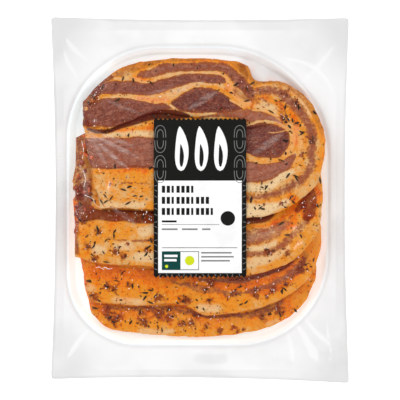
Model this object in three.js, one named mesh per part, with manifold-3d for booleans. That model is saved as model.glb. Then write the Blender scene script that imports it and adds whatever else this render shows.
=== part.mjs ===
// A sealed flat pack of four marinated pork belly slices, each folded double, lying face up.
// Millimetres. +Z is up, X runs across the pack and Y along it. The origin is the middle of the underside.
import * as THREE from "three";
import { mergeVertices } from "three/addons/utils/BufferGeometryUtils.js";
import Module from "manifold-3d";

// The pack, its flange and its cavity
const packWidth = 202.6;
const packLength = 248.8;
const pinch = { left: 3.0, right: 2.8, top: 1.7, bottom: 2.4 }; // how far each side draws in at its middle
const cornerDrop = { topRight: 0.6, bottomLeft: 2.7 }; // these two corners stop short of the full length
const sealWidth = 8.5;
const sealCornerRadius = 9;
const cavity = { left: -90, right: 86.5, top: 104, bottom: -98.5 };
const cavityRadius = { topRight: 75, topLeft: 62, bottomLeft: 48, bottomRight: 60 };
const cavityDraft = 2.2; // how far the cavity's wall leans inwards on its way down
const webThickness = 0.7;
const webSteps = { across: 15, along: 19 }; // points of the web's rings along each side of the pack
const wallMiddle = { height: 0.55, draft: 0.5 }; // shares of the wall's height and draft at its middle ring
const flangeMiddle = 0.45; // share of the way in from the seal where the flange has a ring of its own
const flangeHeight = 9;
const flangeWave = { height: 0.35, perX: 0.045, startX: 0.6, perY: 0.04, startY: -1.1 };
const flangeLevel = 30; // the flange's waves reach their full height this far out from the cavity

// The slices
const sliceThickness = 7.6;
const stackGap = 0.65; // clear height between one slice and the next
const clearance = 0.35; // clear distance between other pieces that touch
const slitHalfWidth = 0.5;
const slopeLength = 38; // a slice climbs onto the one below it over this length
const sectionPower = 4; // how square a slice's cross-section is
const endRound = 4;
const endThickness = 0.45; // share of the thickness left at the cut end of an arm
const endMiddle = 0.35; // share of the rounded end where it has a ring of its own
const sliceSteps = 24;
const sectionShares = [0.015, 0.07, 0.17, 0.3, 0.433, 0.567, 0.7, 0.83, 0.93, 0.985]; // from slit to rim

// Herb flecks on the slices
const fleckCount = 76;
const fleckSpacing = 6.5;
const fleckLength = { shortest: 2.8, longest: 4.8 };
const fleckWidth = 1.05;
const fleckHeight = 1.0;
const fleckSeed = 20;
const fleckProbes = 6; // places round a fleck that must show the same slice
const leastUpright = 0.85; // upward part of the normal of a face that is level enough for a fleck
const rayStart = 100; // height above everything, from which the solids are probed

// The clear film and the label on it
const filmThickness = 0.4;
const filmPuff = 0.9; // how far the film stands off the flange inside the seal
const puffRise = { fromSeal: 6, fromFoot: 5 }; // the film rises to its puff over these lengths
const filmFoot = { left: -91, right: 90, top: 105.5, bottom: -100.5 }; // where the film's fall ends
const filmShoulder = { left: -86.5, right: 86.8, top: 99, bottom: -96 }; // where its fall begins
const filmReach = { x: 11, y: 8.4 }; // how far the film bridges a hollow, no less than a step of its net
const filmColumns = 16;
const filmRows = 24;
const netLevels = { seal: 0.93, foot: 0.87, shoulder: 0.81 };
const netTolerance = 0.001;
const shoulderTolerance = 0.01;
const fixedRows = 3; // rows and columns at the film's border that keep their heights
const tautPasses = 6;
const filmSag = 1.2;
const meatGridStep = 3;
const labelSize = { width: 62.6, bottom: -51.2, top: 54.2 };
const labelTeeth = 20;
const toothHeight = 1.5;
const labelThickness = 0.4;
const labelRows = 11;
const labelReach = { x: 3.2, y: 9.7 }; // how far the label bridges a hollow
const labelSamples = 5;

// Each slice is a long strip folded round the closed end of a slit.
// The rim runs from the lower arm's open end, round the fold on the right, to the upper arm's open end.
// The slit runs from the open end on the left to its closed end, and headEdge is the rim's highest Y.
const sliceShapes = [
  {
    name: "slice_1",
    headEdge: 97,
    slit: [[-79, 48.5], [-68, 45.6], [-51.7, 51], [-32, 58], [0, 55], [32, 48.5], [47, 51]],
    rim: [
      [-68, -5.4], [-32, -6.8], [0, -9.5], [31, -12.1], [48, -10.2], [64.6, -2.4], [77.2, 8.5],
      [82.6, 21], [85, 38], [81.6, 54.4], [71.4, 70.7], [55, 80.5], [37, 82.3], [32, 91.5],
      [17, 95.2], [0, 96.6], [-34, 95.2], [-54.4, 89.8], [-71.4, 76.2], [-80.2, 64.6],
    ],
  },
  {
    name: "slice_2",
    headEdge: 54,
    slit: [[-84, 3], [-40, 2], [0, 0], [40, -3]],
    rim: [
      [-81.7, -38.8], [-72.4, -42.2], [-32, -45.2], [0, -47.3], [31.3, -50.9], [46, -48.5],
      [60.5, -42.2], [72.1, -32.6], [79.2, -22.2], [82.6, -8], [83, 10], [79, 28], [67, 43],
      [46, 51], [0, 54], [-42, 53], [-70, 50], [-82.5, 43],
    ],
  },
  {
    name: "slice_3",
    headEdge: 16,
    slit: [[-82, -33], [-40, -32], [0, -34], [42, -38]],
    rim: [
      [-74.5, -69.4], [-46.2, -71.4], [-12.2, -71.4], [3.4, -78.2], [11.2, -78.2], [37.4, -74.1],
      [56.4, -66.6], [70.4, -56.9], [78.7, -43.9], [82.3, -30.6], [81.5, -15], [74, 1],
      [60, 11], [40, 15], [0, 16], [-42, 15], [-70, 12], [-82, 2],
    ],
  },
  {
    name: "slice_4",
    headEdge: -24,
    slit: [[-78, -58], [-40, -57], [0, -58], [40, -57]],
    rim: [
      [-72.4, -78.2], [-64.1, -86.4], [-46.2, -90.4], [0, -93.2], [27.2, -91.1], [48, -86.4],
      [62.6, -78.2], [70.4, -70], [76, -60.5], [79, -50], [78, -39], [69, -29.5],
      [48, -25], [0, -24], [-42, -25], [-66, -29], [-79, -40],
    ],
  },
];

// Search for a depth along a ray from the pack's middle, as shares of the way to a point on its edge
const farthestShare = 1.2;
const halvings = 40;

const colours = {
  web: 0xf4f4f3,
  film: 0xf7f7f6,
  label: 0x1c1c1b,
  meat: [0xc98a5c, 0xd2934f, 0xdd8f36, 0xdc8427],
};

const wasm = await Module();
wasm.setup();

const mix = (a, b, t) => a + (b - a) * t;
const clamp = (x, low, high) => Math.min(high, Math.max(low, x));
const smooth = (t) => t * t * (3 - 2 * t);
const halfWidth = packWidth / 2;
const halfLength = packLength / 2;

// A repeatable draw between 0 and 1.
function drawFrom(seed) {
  let state = seed;
  return () => {
    state = (state * 1664525 + 1013904223) % 4294967296;
    return state / 4294967296;
  };
}

// A closed skin over a row of rings of equally many points, with a fan over the first and the last ring.
function loft(rings) {
  const around = rings[0].length;
  const points = rings.flat();
  const faces = [];
  for (let row = 0; row + 1 < rings.length; row += 1) {
    for (let i = 0; i < around; i += 1) {
      const a = row * around + i;
      const b = row * around + ((i + 1) % around);
      faces.push(a, b, b + around, a, b + around, a + around);
    }
  }
  const middleOf = (ring) =>
    ring.reduce((sum, p) => sum.add(p), new THREE.Vector3()).divideScalar(around);
  const first = points.push(middleOf(rings[0])) - 1;
  const last = points.push(middleOf(rings[rings.length - 1])) - 1;
  const lastRow = (rings.length - 1) * around;
  for (let i = 0; i < around; i += 1) {
    const next = (i + 1) % around;
    faces.push(first, next, i);
    faces.push(last, lastRow + i, lastRow + next);
  }
  return indexed(points, faces);
}

// A thin solid over a flat net of triangles, from the height at each point of the net up by a thickness.
function slab(net, faces, heights, thickness) {
  const count = net.length;
  const upper = net.map(([x, y], i) => new THREE.Vector3(x, y, heights[i] + thickness));
  const lower = net.map(([x, y], i) => new THREE.Vector3(x, y, heights[i]));
  const all = [];
  const open = new Map();
  for (let f = 0; f < faces.length; f += 3) {
    const corners = faces.slice(f, f + 3);
    all.push(...corners, ...corners.map((c) => c + count).reverse());
    corners.forEach((from, k) => {
      const to = corners[(k + 1) % 3];
      if (!open.delete(`${to},${from}`)) open.set(`${from},${to}`, [from, to]);
    });
  }
  for (const [from, to] of open.values()) {
    all.push(from, from + count, to + count, from, to + count, to);
  }
  return indexed([...upper, ...lower], all);
}

function indexed(points, faces) {
  const geometry = new THREE.BufferGeometry().setFromPoints(points);
  geometry.setIndex(faces);
  geometry.computeVertexNormals();
  return geometry;
}

function solidOf(geometry) {
  const bare = new THREE.BufferGeometry();
  bare.setAttribute("position", geometry.getAttribute("position"));
  bare.setIndex(geometry.index);
  const merged = mergeVertices(bare, 1e-4);
  return new wasm.Manifold(
    new wasm.Mesh({
      numProp: 3,
      vertProperties: merged.attributes.position.array,
      triVerts: new Uint32Array(merged.index.array),
    }),
  );
}

function geometryOf(solid) {
  const mesh = solid.getMesh();
  const geometry = new THREE.BufferGeometry();
  geometry.setAttribute("position", new THREE.BufferAttribute(mesh.vertProperties, 3));
  geometry.setIndex(new THREE.BufferAttribute(mesh.triVerts, 1));
  geometry.computeVertexNormals();
  return geometry;
}

// A point of the pack's plan from -1..1 across and -1..1 along, with each side drawn in at its middle.
function packPoint(u, v) {
  const bowX = 1 - v * v;
  const bowY = 1 - u * u;
  const left = -halfWidth + pinch.left * bowX;
  const right = halfWidth - pinch.right * bowX;
  const across = (u + 1) / 2;
  const top = halfLength - cornerDrop.topRight * across - pinch.top * bowY;
  const bottom = -halfLength + cornerDrop.bottomLeft * (1 - across) + pinch.bottom * bowY;
  return [mix(left, right, across), mix(bottom, top, (v + 1) / 2)];
}

// How far a point lies inside a rectangle with four corner radii, negative outside it.
function depthInside(x, y, box, radius) {
  const middleX = (box.left + box.right) / 2;
  const middleY = (box.bottom + box.top) / 2;
  const side = (y > middleY ? "top" : "bottom") + (x > middleX ? "Right" : "Left");
  const r = radius[side];
  const beyondX = Math.abs(x - middleX) - (box.right - box.left) / 2 + r;
  const beyondY = Math.abs(y - middleY) - (box.top - box.bottom) / 2 + r;
  const outside = Math.hypot(Math.max(beyondX, 0), Math.max(beyondY, 0));
  return r - outside - Math.min(Math.max(beyondX, beyondY), 0);
}

// Where the ray from the middle of the pack towards (x, y) is a given depth inside such a rectangle.
function towards(x, y, box, radius, depth) {
  let near = 0;
  let far = farthestShare;
  for (let i = 0; i < halvings; i += 1) {
    const t = (near + far) / 2;
    if (depthInside(x * t, y * t, box, radius) > depth) near = t;
    else far = t;
  }
  return [x * near, y * near];
}

const sealBox = {
  left: -halfWidth + sealWidth,
  right: halfWidth - sealWidth,
  top: halfLength - sealWidth,
  bottom: -halfLength + sealWidth,
};
const sealRadius = {
  topRight: sealCornerRadius,
  topLeft: sealCornerRadius,
  bottomLeft: sealCornerRadius,
  bottomRight: sealCornerRadius,
};

// The height of the flange's upper face: level at the cavity, with slow waves that grow towards the edge.
function flangeAt(x, y) {
  const outwards = clamp(-depthInside(x, y, cavity, cavityRadius) / flangeLevel, 0, 1);
  const { height, perX, startX, perY, startY } = flangeWave;
  const wave = Math.sin(x * perX + startX) + Math.sin(y * perY + startY);
  return flangeHeight + height * wave * outwards;
}

// The white web: a flat cavity floor, a leaning wall and a wide flange, one sheet thick.
function webGeometry() {
  const { across, along } = webSteps;
  const border = [];
  for (let i = 0; i < across; i += 1) border.push([mix(-1, 1, i / across), -1]);
  for (let i = 0; i < along; i += 1) border.push([1, mix(-1, 1, i / along)]);
  for (let i = 0; i < across; i += 1) border.push([mix(1, -1, i / across), 1]);
  for (let i = 0; i < along; i += 1) border.push([-1, mix(1, -1, i / along)]);
  const edge = border.map(([u, v]) => packPoint(u, v));
  const ringAt = (box, radius, depth) => edge.map(([x, y]) => towards(x, y, box, radius, depth));
  const between = (outer, inner, t) =>
    outer.map(([x, y], i) => [mix(x, inner[i][0], t), mix(y, inner[i][1], t)]);
  const lift = (ring, heightAt) => ring.map(([x, y]) => new THREE.Vector3(x, y, heightAt(x, y)));
  const seal = ringAt(sealBox, sealRadius, 0);
  const rim = ringAt(cavity, cavityRadius, 0);
  const rimBelow = ringAt(cavity, cavityRadius, -webThickness);
  const wallDraft = cavityDraft * wallMiddle.draft;
  const wallHeight = flangeHeight * wallMiddle.height;
  const wall = ringAt(cavity, cavityRadius, wallDraft);
  const wallBelow = ringAt(cavity, cavityRadius, wallDraft - webThickness);
  const floor = ringAt(cavity, cavityRadius, cavityDraft);
  const floorBelow = ringAt(cavity, cavityRadius, cavityDraft - webThickness);
  const onFlange = between(seal, rim, flangeMiddle);
  const flangeBelow = (x, y) => flangeAt(x, y) - webThickness;
  return loft([
    lift(floorBelow, () => 0),
    lift(wallBelow, () => wallHeight - webThickness),
    lift(rimBelow, flangeBelow),
    lift(onFlange, flangeBelow),
    lift(seal, flangeBelow),
    lift(edge, flangeBelow),
    lift(edge, flangeAt),
    lift(seal, flangeAt),
    lift(onFlange, flangeAt),
    lift(rim, flangeAt),
    lift(wall, () => wallHeight),
    lift(floor, () => webThickness),
  ]);
}

// The height of a slice's underside: it lies on the cavity's floor and climbs onto each slice below it.
function undersideAt(index, y) {
  const liftOnto = ({ headEdge }) => smooth(clamp((headEdge + slopeLength - y) / slopeLength, 0, 1));
  const lift = sliceShapes.slice(index + 1).reduce((sum, below) => sum + liftOnto(below), 0);
  return webThickness + clearance + (sliceThickness + stackGap) * lift;
}

// Share of the half thickness at a place across the strip, 0 at the slit and 1 at the rim.
const fullness = (v) => (1 - Math.abs(2 * v - 1) ** sectionPower) ** (1 / sectionPower);

// A slice: the strip between slit and rim, carried along the rim, with a rounded section and rounded ends.
function sliceGeometry(shape, index) {
  const rim = new THREE.CatmullRomCurve3(shape.rim.map(([x, y]) => new THREE.Vector3(x, y, 0)));
  const slit = new THREE.CatmullRomCurve3(shape.slit.map(([x, y]) => new THREE.Vector3(x, y, 0)));
  const closedEnd = shape.slit[shape.slit.length - 1][0];
  const length = rim.getLength();
  const section = [
    [0, 0],
    ...sectionShares.map((v) => [v, fullness(v)]),
    [1, 0],
    ...sectionShares.map((v) => [v, -fullness(v)]).reverse(),
  ];
  const inner = endRound / length;
  const stations = [0, inner * endMiddle];
  for (let i = 0; i <= sliceSteps; i += 1) stations.push(mix(inner, 1 - inner, i / sliceSteps));
  stations.push(1 - inner * endMiddle, 1);
  const rings = stations.map((s) => {
    const edge = rim.getPointAt(s);
    const openEnd = s < 0.5 ? shape.rim[0][0] : shape.rim[shape.rim.length - 1][0];
    const along = clamp((edge.x - openEnd) / (closedEnd - openEnd), 0, 1);
    const fold = slit.getPointAt(along);
    const outwards = edge.clone().sub(fold).normalize();
    fold.addScaledVector(outwards, slitHalfWidth);
    const fromEnd = clamp((Math.min(s, 1 - s) * length) / endRound, 0, 1);
    const full = mix(endThickness, 1, Math.sqrt(fromEnd * (2 - fromEnd)));
    return section.map(([v, w]) => {
      const point = fold.clone().lerp(edge, v);
      point.z = undersideAt(index, point.y) + (sliceThickness / 2) * (1 + w * full);
      return point;
    });
  });
  return loft(rings);
}

// The highest solid under a point, found by a ray straight down.
const down = new THREE.Vector3(0, 0, -1);
const caster = new THREE.Raycaster();
function hitBelow(meshes, x, y) {
  caster.set(new THREE.Vector3(x, y, rayStart), down);
  return caster.intersectObjects(meshes, false)[0];
}

// Herb flecks lie on whichever slice shows at a drawn place, well clear of the slice above it.
function scatterFlecks(slices) {
  const draw = drawFrom(fleckSeed);
  const probes = Array.from({ length: fleckProbes }, (_, k) => (k * 2 * Math.PI) / fleckProbes);
  const flecks = [];
  while (flecks.length < fleckCount) {
    const x = mix(cavity.left, cavity.right, draw());
    const y = mix(cavity.bottom, cavity.top, draw());
    const turn = draw() * Math.PI;
    const length = mix(fleckLength.longest, fleckLength.shortest, flecks.length / fleckCount);
    const hit = hitBelow(slices, x, y);
    if (!hit || hit.face.normal.z < leastUpright) continue;
    if (flecks.some((f) => f.position.distanceTo(hit.point) < fleckSpacing)) continue;
    const clear = probes.every((probe) => {
      const angle = turn + probe;
      const near = hitBelow(slices, x + length * Math.cos(angle), y + length * Math.sin(angle));
      return near && near.object === hit.object;
    });
    if (!clear) continue;
    flecks.push({ slice: hit.object, position: hit.point, normal: hit.face.normal, turn, length });
  }
  return flecks;
}

function fleckGeometry({ position, normal, turn, length }) {
  const geometry = new THREE.SphereGeometry(0.5, 5, 4);
  geometry.scale(length, fleckWidth, fleckHeight);
  geometry.rotateZ(turn);
  geometry.applyQuaternion(new THREE.Quaternion().setFromUnitVectors(new THREE.Vector3(0, 0, 1), normal));
  geometry.translate(position.x, position.y, position.z);
  return geometry;
}

function material(colour, roughness, clearness = 0) {
  return new THREE.MeshStandardMaterial({
    color: colour,
    roughness,
    metalness: 0,
    transparent: clearness > 0,
    opacity: 1 - clearness,
  });
}

function named(name, geometry, finish) {
  const mesh = new THREE.Mesh(geometry, finish);
  mesh.name = name;
  return mesh;
}

const web = named("base_web", webGeometry(), material(colours.web, 0.35));
const bareSlices = sliceShapes.map((shape, i) =>
  named(shape.name, sliceGeometry(shape, i), material(colours.meat[i], 0.3)),
);
bareSlices.forEach((slice) => slice.updateMatrixWorld(true));

const flecks = scatterFlecks(bareSlices);
const slices = bareSlices.map((slice) => {
  let solid = solidOf(slice.geometry);
  for (const fleck of flecks.filter((f) => f.slice === slice)) {
    solid = solid.add(solidOf(fleckGeometry(fleck)));
  }
  return named(slice.name, geometryOf(solid), slice.material);
});

// The meat's height on an even grid, which the film is drawn over.
const meatHeights = [];
for (let x = cavity.left; x <= cavity.right; x += meatGridStep) {
  for (let y = cavity.bottom; y <= cavity.top; y += meatGridStep) {
    const hit = hitBelow(bareSlices, x, y);
    if (hit) meatHeights.push([x, y, hit.point.z]);
  }
}

// The film's underside: puffed over the flange outside its foot, and resting on the meat inside its shoulder.
function filmUnderAt(x, y) {
  const inSeal = depthInside(x, y, sealBox, sealRadius);
  const outOfFoot = -depthInside(x, y, filmFoot, cavityRadius);
  const offSeal = smooth(clamp(inSeal / puffRise.fromSeal, 0, 1));
  const puff = offSeal * smooth(clamp(outOfFoot / puffRise.fromFoot, 0, 1));
  const onFlange = flangeAt(x, y) + clearance + filmPuff * puff;
  if (depthInside(x, y, filmShoulder, cavityRadius) < -shoulderTolerance) return onFlange;
  const near = meatHeights.filter(
    ([mx, my]) => Math.abs(mx - x) < filmReach.x && Math.abs(my - y) < filmReach.y,
  );
  return near.reduce((high, [, , z]) => Math.max(high, z + fleckHeight / 2 + clearance), onFlange);
}

// The film is taut: no place inside its shoulder sags far below the middle of its four neighbours.
function pulledTaut(heights, columns, rows) {
  const taut = [...heights];
  for (let pass = 0; pass < tautPasses; pass += 1) {
    for (let j = fixedRows; j < rows - fixedRows; j += 1) {
      for (let i = fixedRows; i < columns - fixedRows; i += 1) {
        const at = j * columns + i;
        const middle = (taut[at - 1] + taut[at + 1] + taut[at - columns] + taut[at + columns]) / 4;
        taut[at] = Math.max(taut[at], middle - filmSag);
      }
    }
  }
  return taut;
}

// Places from -1 to 1 in a row: the edge, the seal, the film's foot, its shoulder, then even steps between.
function netLines(steps) {
  const { seal, foot, shoulder } = netLevels;
  const inner = Array.from({ length: steps + 1 }, (_, i) => mix(-shoulder, shoulder, i / steps));
  return [-1, -seal, -foot, ...inner, foot, seal, 1];
}

// A square's concentric rings laid onto the pack's outline, the seal, the foot and the shoulder of the film.
function filmPoint(u, v) {
  const { seal, foot, shoulder } = netLevels;
  const level = Math.max(Math.abs(u), Math.abs(v));
  if (level === 0) return [0, 0];
  const edge = packPoint(u / level, v / level);
  if (level > 1 - netTolerance) return edge;
  if (level > seal - netTolerance) return towards(...edge, sealBox, sealRadius, 0);
  if (level > foot - netTolerance) return towards(...edge, filmFoot, cavityRadius, 0);
  const [x, y] = towards(...edge, filmShoulder, cavityRadius, 0);
  return [(x * level) / shoulder, (y * level) / shoulder];
}

function rectangleNet(us, vs, place) {
  const net = [];
  const faces = [];
  for (const v of vs) for (const u of us) net.push(place(u, v));
  for (let j = 0; j + 1 < vs.length; j += 1) {
    for (let i = 0; i + 1 < us.length; i += 1) {
      const a = j * us.length + i;
      const b = a + us.length;
      faces.push(a, a + 1, b + 1, a, b + 1, b);
    }
  }
  return { net, faces };
}

function filmGeometry() {
  const us = netLines(filmColumns);
  const vs = netLines(filmRows);
  const { net, faces } = rectangleNet(us, vs, filmPoint);
  const slack = net.map(([x, y]) => filmUnderAt(x, y));
  const heights = pulledTaut(slack, us.length, vs.length);
  return slab(net, faces, heights, filmThickness);
}

const film = named("top_film", filmGeometry(), material(colours.film, 0.1, 0.8));
film.updateMatrixWorld(true);

// The label is a stiff sheet that bridges the film's hollows, with a row of teeth along each short end.
function labelUnderAt(x, y) {
  let height = 0;
  for (let i = -labelSamples; i <= labelSamples; i += 1) {
    for (let j = -labelSamples; j <= labelSamples; j += 1) {
      const across = (i / labelSamples) * labelReach.x;
      const along = (j / labelSamples) * labelReach.y;
      height = Math.max(height, hitBelow([film], x + across, y + along).point.z);
    }
  }
  return height + clearance;
}

function labelGeometry() {
  const us = Array.from({ length: labelTeeth + 1 }, (_, i) => mix(-0.5, 0.5, i / labelTeeth));
  const vs = Array.from({ length: labelRows + 1 }, (_, j) => j / labelRows);
  const place = (u, v) => [u * labelSize.width, mix(labelSize.bottom, labelSize.top, v)];
  const { net, faces } = rectangleNet(us, vs, place);
  const pitch = labelSize.width / labelTeeth;
  const topRow = labelRows * us.length;
  for (let i = 0; i < labelTeeth; i += 1) {
    const x = net[i][0] + pitch / 2;
    const low = net.push([x, labelSize.bottom - toothHeight]) - 1;
    faces.push(low, i + 1, i);
    const high = net.push([x, labelSize.top + toothHeight]) - 1;
    faces.push(topRow + i, topRow + i + 1, high);
  }
  const heights = net.map(([x, y]) => labelUnderAt(x, y));
  return slab(net, faces, heights, labelThickness);
}

const label = named("label", labelGeometry(), material(colours.label, 0.5));

const pack = new THREE.Group();
pack.add(web, ...slices, film, label);

export default pack;
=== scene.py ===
# A sealed flat pack of four marinated pork belly slices, seen from straight above.
# Lengths are in millimetres until a mesh is made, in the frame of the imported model.
import math

import bpy
import numpy as np
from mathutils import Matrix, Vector


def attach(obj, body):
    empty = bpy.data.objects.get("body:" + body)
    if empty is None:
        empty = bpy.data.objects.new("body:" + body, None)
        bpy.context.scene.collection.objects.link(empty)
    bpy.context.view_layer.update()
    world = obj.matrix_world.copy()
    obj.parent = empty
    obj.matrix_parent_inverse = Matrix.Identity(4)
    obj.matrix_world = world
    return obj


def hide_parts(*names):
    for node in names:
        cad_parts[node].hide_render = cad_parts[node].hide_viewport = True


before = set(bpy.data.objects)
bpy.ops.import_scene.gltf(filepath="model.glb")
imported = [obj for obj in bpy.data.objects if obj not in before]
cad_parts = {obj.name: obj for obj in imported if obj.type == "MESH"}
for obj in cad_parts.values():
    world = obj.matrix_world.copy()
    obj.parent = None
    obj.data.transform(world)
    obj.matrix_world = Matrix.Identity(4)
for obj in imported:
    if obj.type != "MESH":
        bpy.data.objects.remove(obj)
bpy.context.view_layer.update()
millimetre = 0.001


def clip01(t):
    return np.clip(t, 0.0, 1.0)


# eased step: 3t^2 - 2t^3 between 0 and 1
def ease(t):
    t = clip01(t)
    return t * t * (3 - 2 * t)


# eased 0 to 1 over a width that begins at a start
def risen(value, start, width):
    return ease((value - start) / width)


def blend(a, b, t):
    return a + (b - a) * t


# smooth random heights, -1 to 1: draws at the corners of a square lattice, joined by eased steps
def lumps(x, y, size, seed):
    around = 97  # cells until the lattice comes round again
    table = np.random.default_rng(seed).uniform(-1, 1, (around, around))
    u, v = x / size, y / size
    i, j = np.floor(u).astype(int), np.floor(v).astype(int)
    fu, fv = ease(u - i), ease(v - j)
    low = blend(table[i % around, j % around], table[(i + 1) % around, j % around], fu)
    high = blend(table[i % around, (j + 1) % around], table[(i + 1) % around, (j + 1) % around], fu)
    return blend(low, high, fv)


# lumps of several kinds added up, each kind given as its height, size and seed
def lumpsOf(x, y, *kinds):
    return sum(height * lumps(x, y, size, seed) for height, size, seed in kinds)


# the length of the straight lines from point to point
def straightRun(points):
    return sum(math.dist(a[:2], b[:2]) for a, b in zip(points, points[1:]))


# a centripetal Catmull-Rom curve through the points, at even steps of its length
def curveThrough(points, steps):
    finePerPoint = 60
    p = np.asarray(points, float)
    p = np.vstack([2 * p[0] - p[1], p, 2 * p[-1] - p[-2]])
    gaps = np.sqrt(np.linalg.norm(np.diff(p[:, :2], axis=0), axis=1))
    knots = np.concatenate([[0], np.cumsum(gaps)])
    t = np.linspace(knots[1], knots[-2], finePerPoint * len(points))
    k = np.clip(np.searchsorted(knots, t, "right") - 1, 1, len(p) - 3)
    t0, t1, t2, t3 = (knots[k + n][:, None] for n in (-1, 0, 1, 2))
    t = t[:, None]
    a1 = (p[k - 1] * (t1 - t) + p[k] * (t - t0)) / (t1 - t0)
    a2 = (p[k] * (t2 - t) + p[k + 1] * (t - t1)) / (t2 - t1)
    a3 = (p[k + 1] * (t3 - t) + p[k + 2] * (t - t2)) / (t3 - t2)
    b1 = (a1 * (t2 - t) + a2 * (t - t0)) / (t2 - t0)
    b2 = (a2 * (t3 - t) + a3 * (t - t1)) / (t3 - t1)
    curve = (b1 * (t2 - t) + b2 * (t - t1)) / (t2 - t1)
    run = np.concatenate([[0], np.cumsum(np.linalg.norm(np.diff(curve[:, :2], axis=0), axis=1))])
    at = np.linspace(0, run[-1], steps)
    return np.stack([np.interp(at, run, curve[:, n]) for n in range(curve.shape[1])], 1), run[-1]


# how far places lie inside a stroke: half width minus distance to a curve through (x, y, half width)
def insideStroke(x, y, stroke):
    step, fewest, far = 0.7, 12, 3.0
    path, _ = curveThrough(stroke, fewest + int(straightRun(stroke) / step))
    reach = path[:, 2].max() + far
    depth = np.full(x.shape, -far)
    low, high = path[:, :2].min(0) - reach, path[:, :2].max(0) + reach
    near = (x > low[0]) & (x < high[0]) & (y > low[1]) & (y < high[1])
    if near.any():
        px, py = x[near], y[near]
        best = np.full(px.shape, -far)
        for sx, sy, half in path:
            best = np.maximum(best, half - np.hypot(px - sx, py - sy))
        depth[near] = best
    return depth


# the highest cover of some strokes, each given as (share, stroke), eased over a soft edge
def covered(x, y, strokes, soft):
    cover = np.zeros_like(x)
    for share, stroke in strokes:
        cover = np.maximum(cover, share * ease(insideStroke(x, y, stroke) / soft + 0.5))
    return cover


# round clumps given as (x, y, radius): 1 at a middle, falling off as exp(-(distance / radius)^2)
def clumpsAt(x, y, clumps):
    near = np.zeros_like(x)
    for cx, cy, radius in clumps:
        near = np.maximum(near, np.exp(-((x - cx) ** 2 + (y - cy) ** 2) / radius ** 2))
    return near


# one value for each point as the four that an attribute holds
def greyTint(value):
    return np.stack([value, value, value, np.ones_like(value)], -1)


def makePiece(name, points, faces, uv=None, tints=None, smooth=True):
    mesh = bpy.data.meshes.new(name)
    faces = faces if isinstance(faces, list) else faces.tolist()
    mesh.from_pydata(np.asarray(points) * millimetre, [], faces)
    if uv is not None:
        layer = mesh.uv_layers.new(name="surface")
        corner = np.empty(len(mesh.loops), np.int32)
        mesh.loops.foreach_get("vertex_index", corner)
        layer.data.foreach_set("uv", np.asarray(uv, np.float32)[corner].ravel())
    for layerName, values in (tints or {}).items():
        attribute = mesh.color_attributes.new(name=layerName, type="FLOAT_COLOR", domain="POINT")
        attribute.data.foreach_set("color", np.asarray(values, np.float32).ravel())
    if smooth:
        mesh.shade_smooth()
    mesh.update()
    piece = bpy.data.objects.new(name, mesh)
    bpy.context.scene.collection.objects.link(piece)
    return piece


# faces of a grid of rows x columns, which may close on itself from its last column to its first
def gridFaces(rows, columns, closed=False, start=0, flip=False):
    i, j = np.meshgrid(np.arange(rows - 1), np.arange(columns if closed else columns - 1), indexing="ij")
    a = start + i * columns + j
    b = start + i * columns + (j + 1) % columns
    quads = np.stack([a, b, b + columns, a + columns], -1).reshape(-1, 4)
    return quads[:, ::-1] if flip else quads


# triangles from one point to a closed ring of points
def fanFaces(point, ring, flip=False):
    after = np.roll(ring, -1)
    first, second = (after, ring) if flip else (ring, after)
    return np.stack([np.full(len(ring), point), first, second], 1).tolist()


# a sheet of one thickness: the upper and lower faces of a grid, and a wall round its border
def sheetFaces(rows, columns):
    count = rows * columns
    upper = gridFaces(rows, columns)
    lower = gridFaces(rows, columns, start=count, flip=True)
    index = np.arange(count).reshape(rows, columns)
    loop = np.concatenate([index[0, :-1], index[:-1, -1], index[-1, :0:-1], index[:0:-1, 0]])
    after = np.roll(loop, -1)
    wall = np.stack([after, loop, loop + count, after + count], 1)
    return np.concatenate([upper, lower, wall])


# the sRGB curve, from 0..255 on screen to a linear share
def linear(value):
    value = value / 255
    return value / 12.92 if value <= 0.04045 else ((value + 0.055) / 1.055) ** 2.4


# a colour as it looks on screen, 0 to 255, as the shader's numbers
def tone(red, green, blue):
    return (linear(red), linear(green), linear(blue), 1.0)


def grey(share):
    return (share, share, share, 1.0)


# one socket; arithmetic on it adds Math nodes to its tree
class Wire:
    def __init__(self, paint, socket):
        self.paint, self.socket = paint, socket

    def maths(self, operation, *values):
        return self.paint.make("ShaderNodeMath", {"operation": operation}, dict(enumerate(values)))

    def __add__(self, other):
        return self.maths("ADD", self, other)

    def __sub__(self, other):
        return self.maths("SUBTRACT", self, other)

    def __rsub__(self, other):
        return self.maths("SUBTRACT", other, self)

    def __mul__(self, other):
        return self.maths("MULTIPLY", self, other)

    def __pow__(self, other):
        return self.maths("POWER", self, other)

    __radd__ = __add__
    __rmul__ = __mul__

    def absolute(self):
        return self.maths("ABSOLUTE", self)

    def atMost(self, limit):
        return self.maths("MINIMUM", self, limit)

    # eased 0 to 1 as the value goes from low to high
    def between(self, low, high):
        settings = {"interpolation_type": "SMOOTHSTEP"}
        return self.paint.make("ShaderNodeMapRange", settings, {0: self, 1: low, 2: high, 3: 0.0, 4: 1.0})


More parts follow.
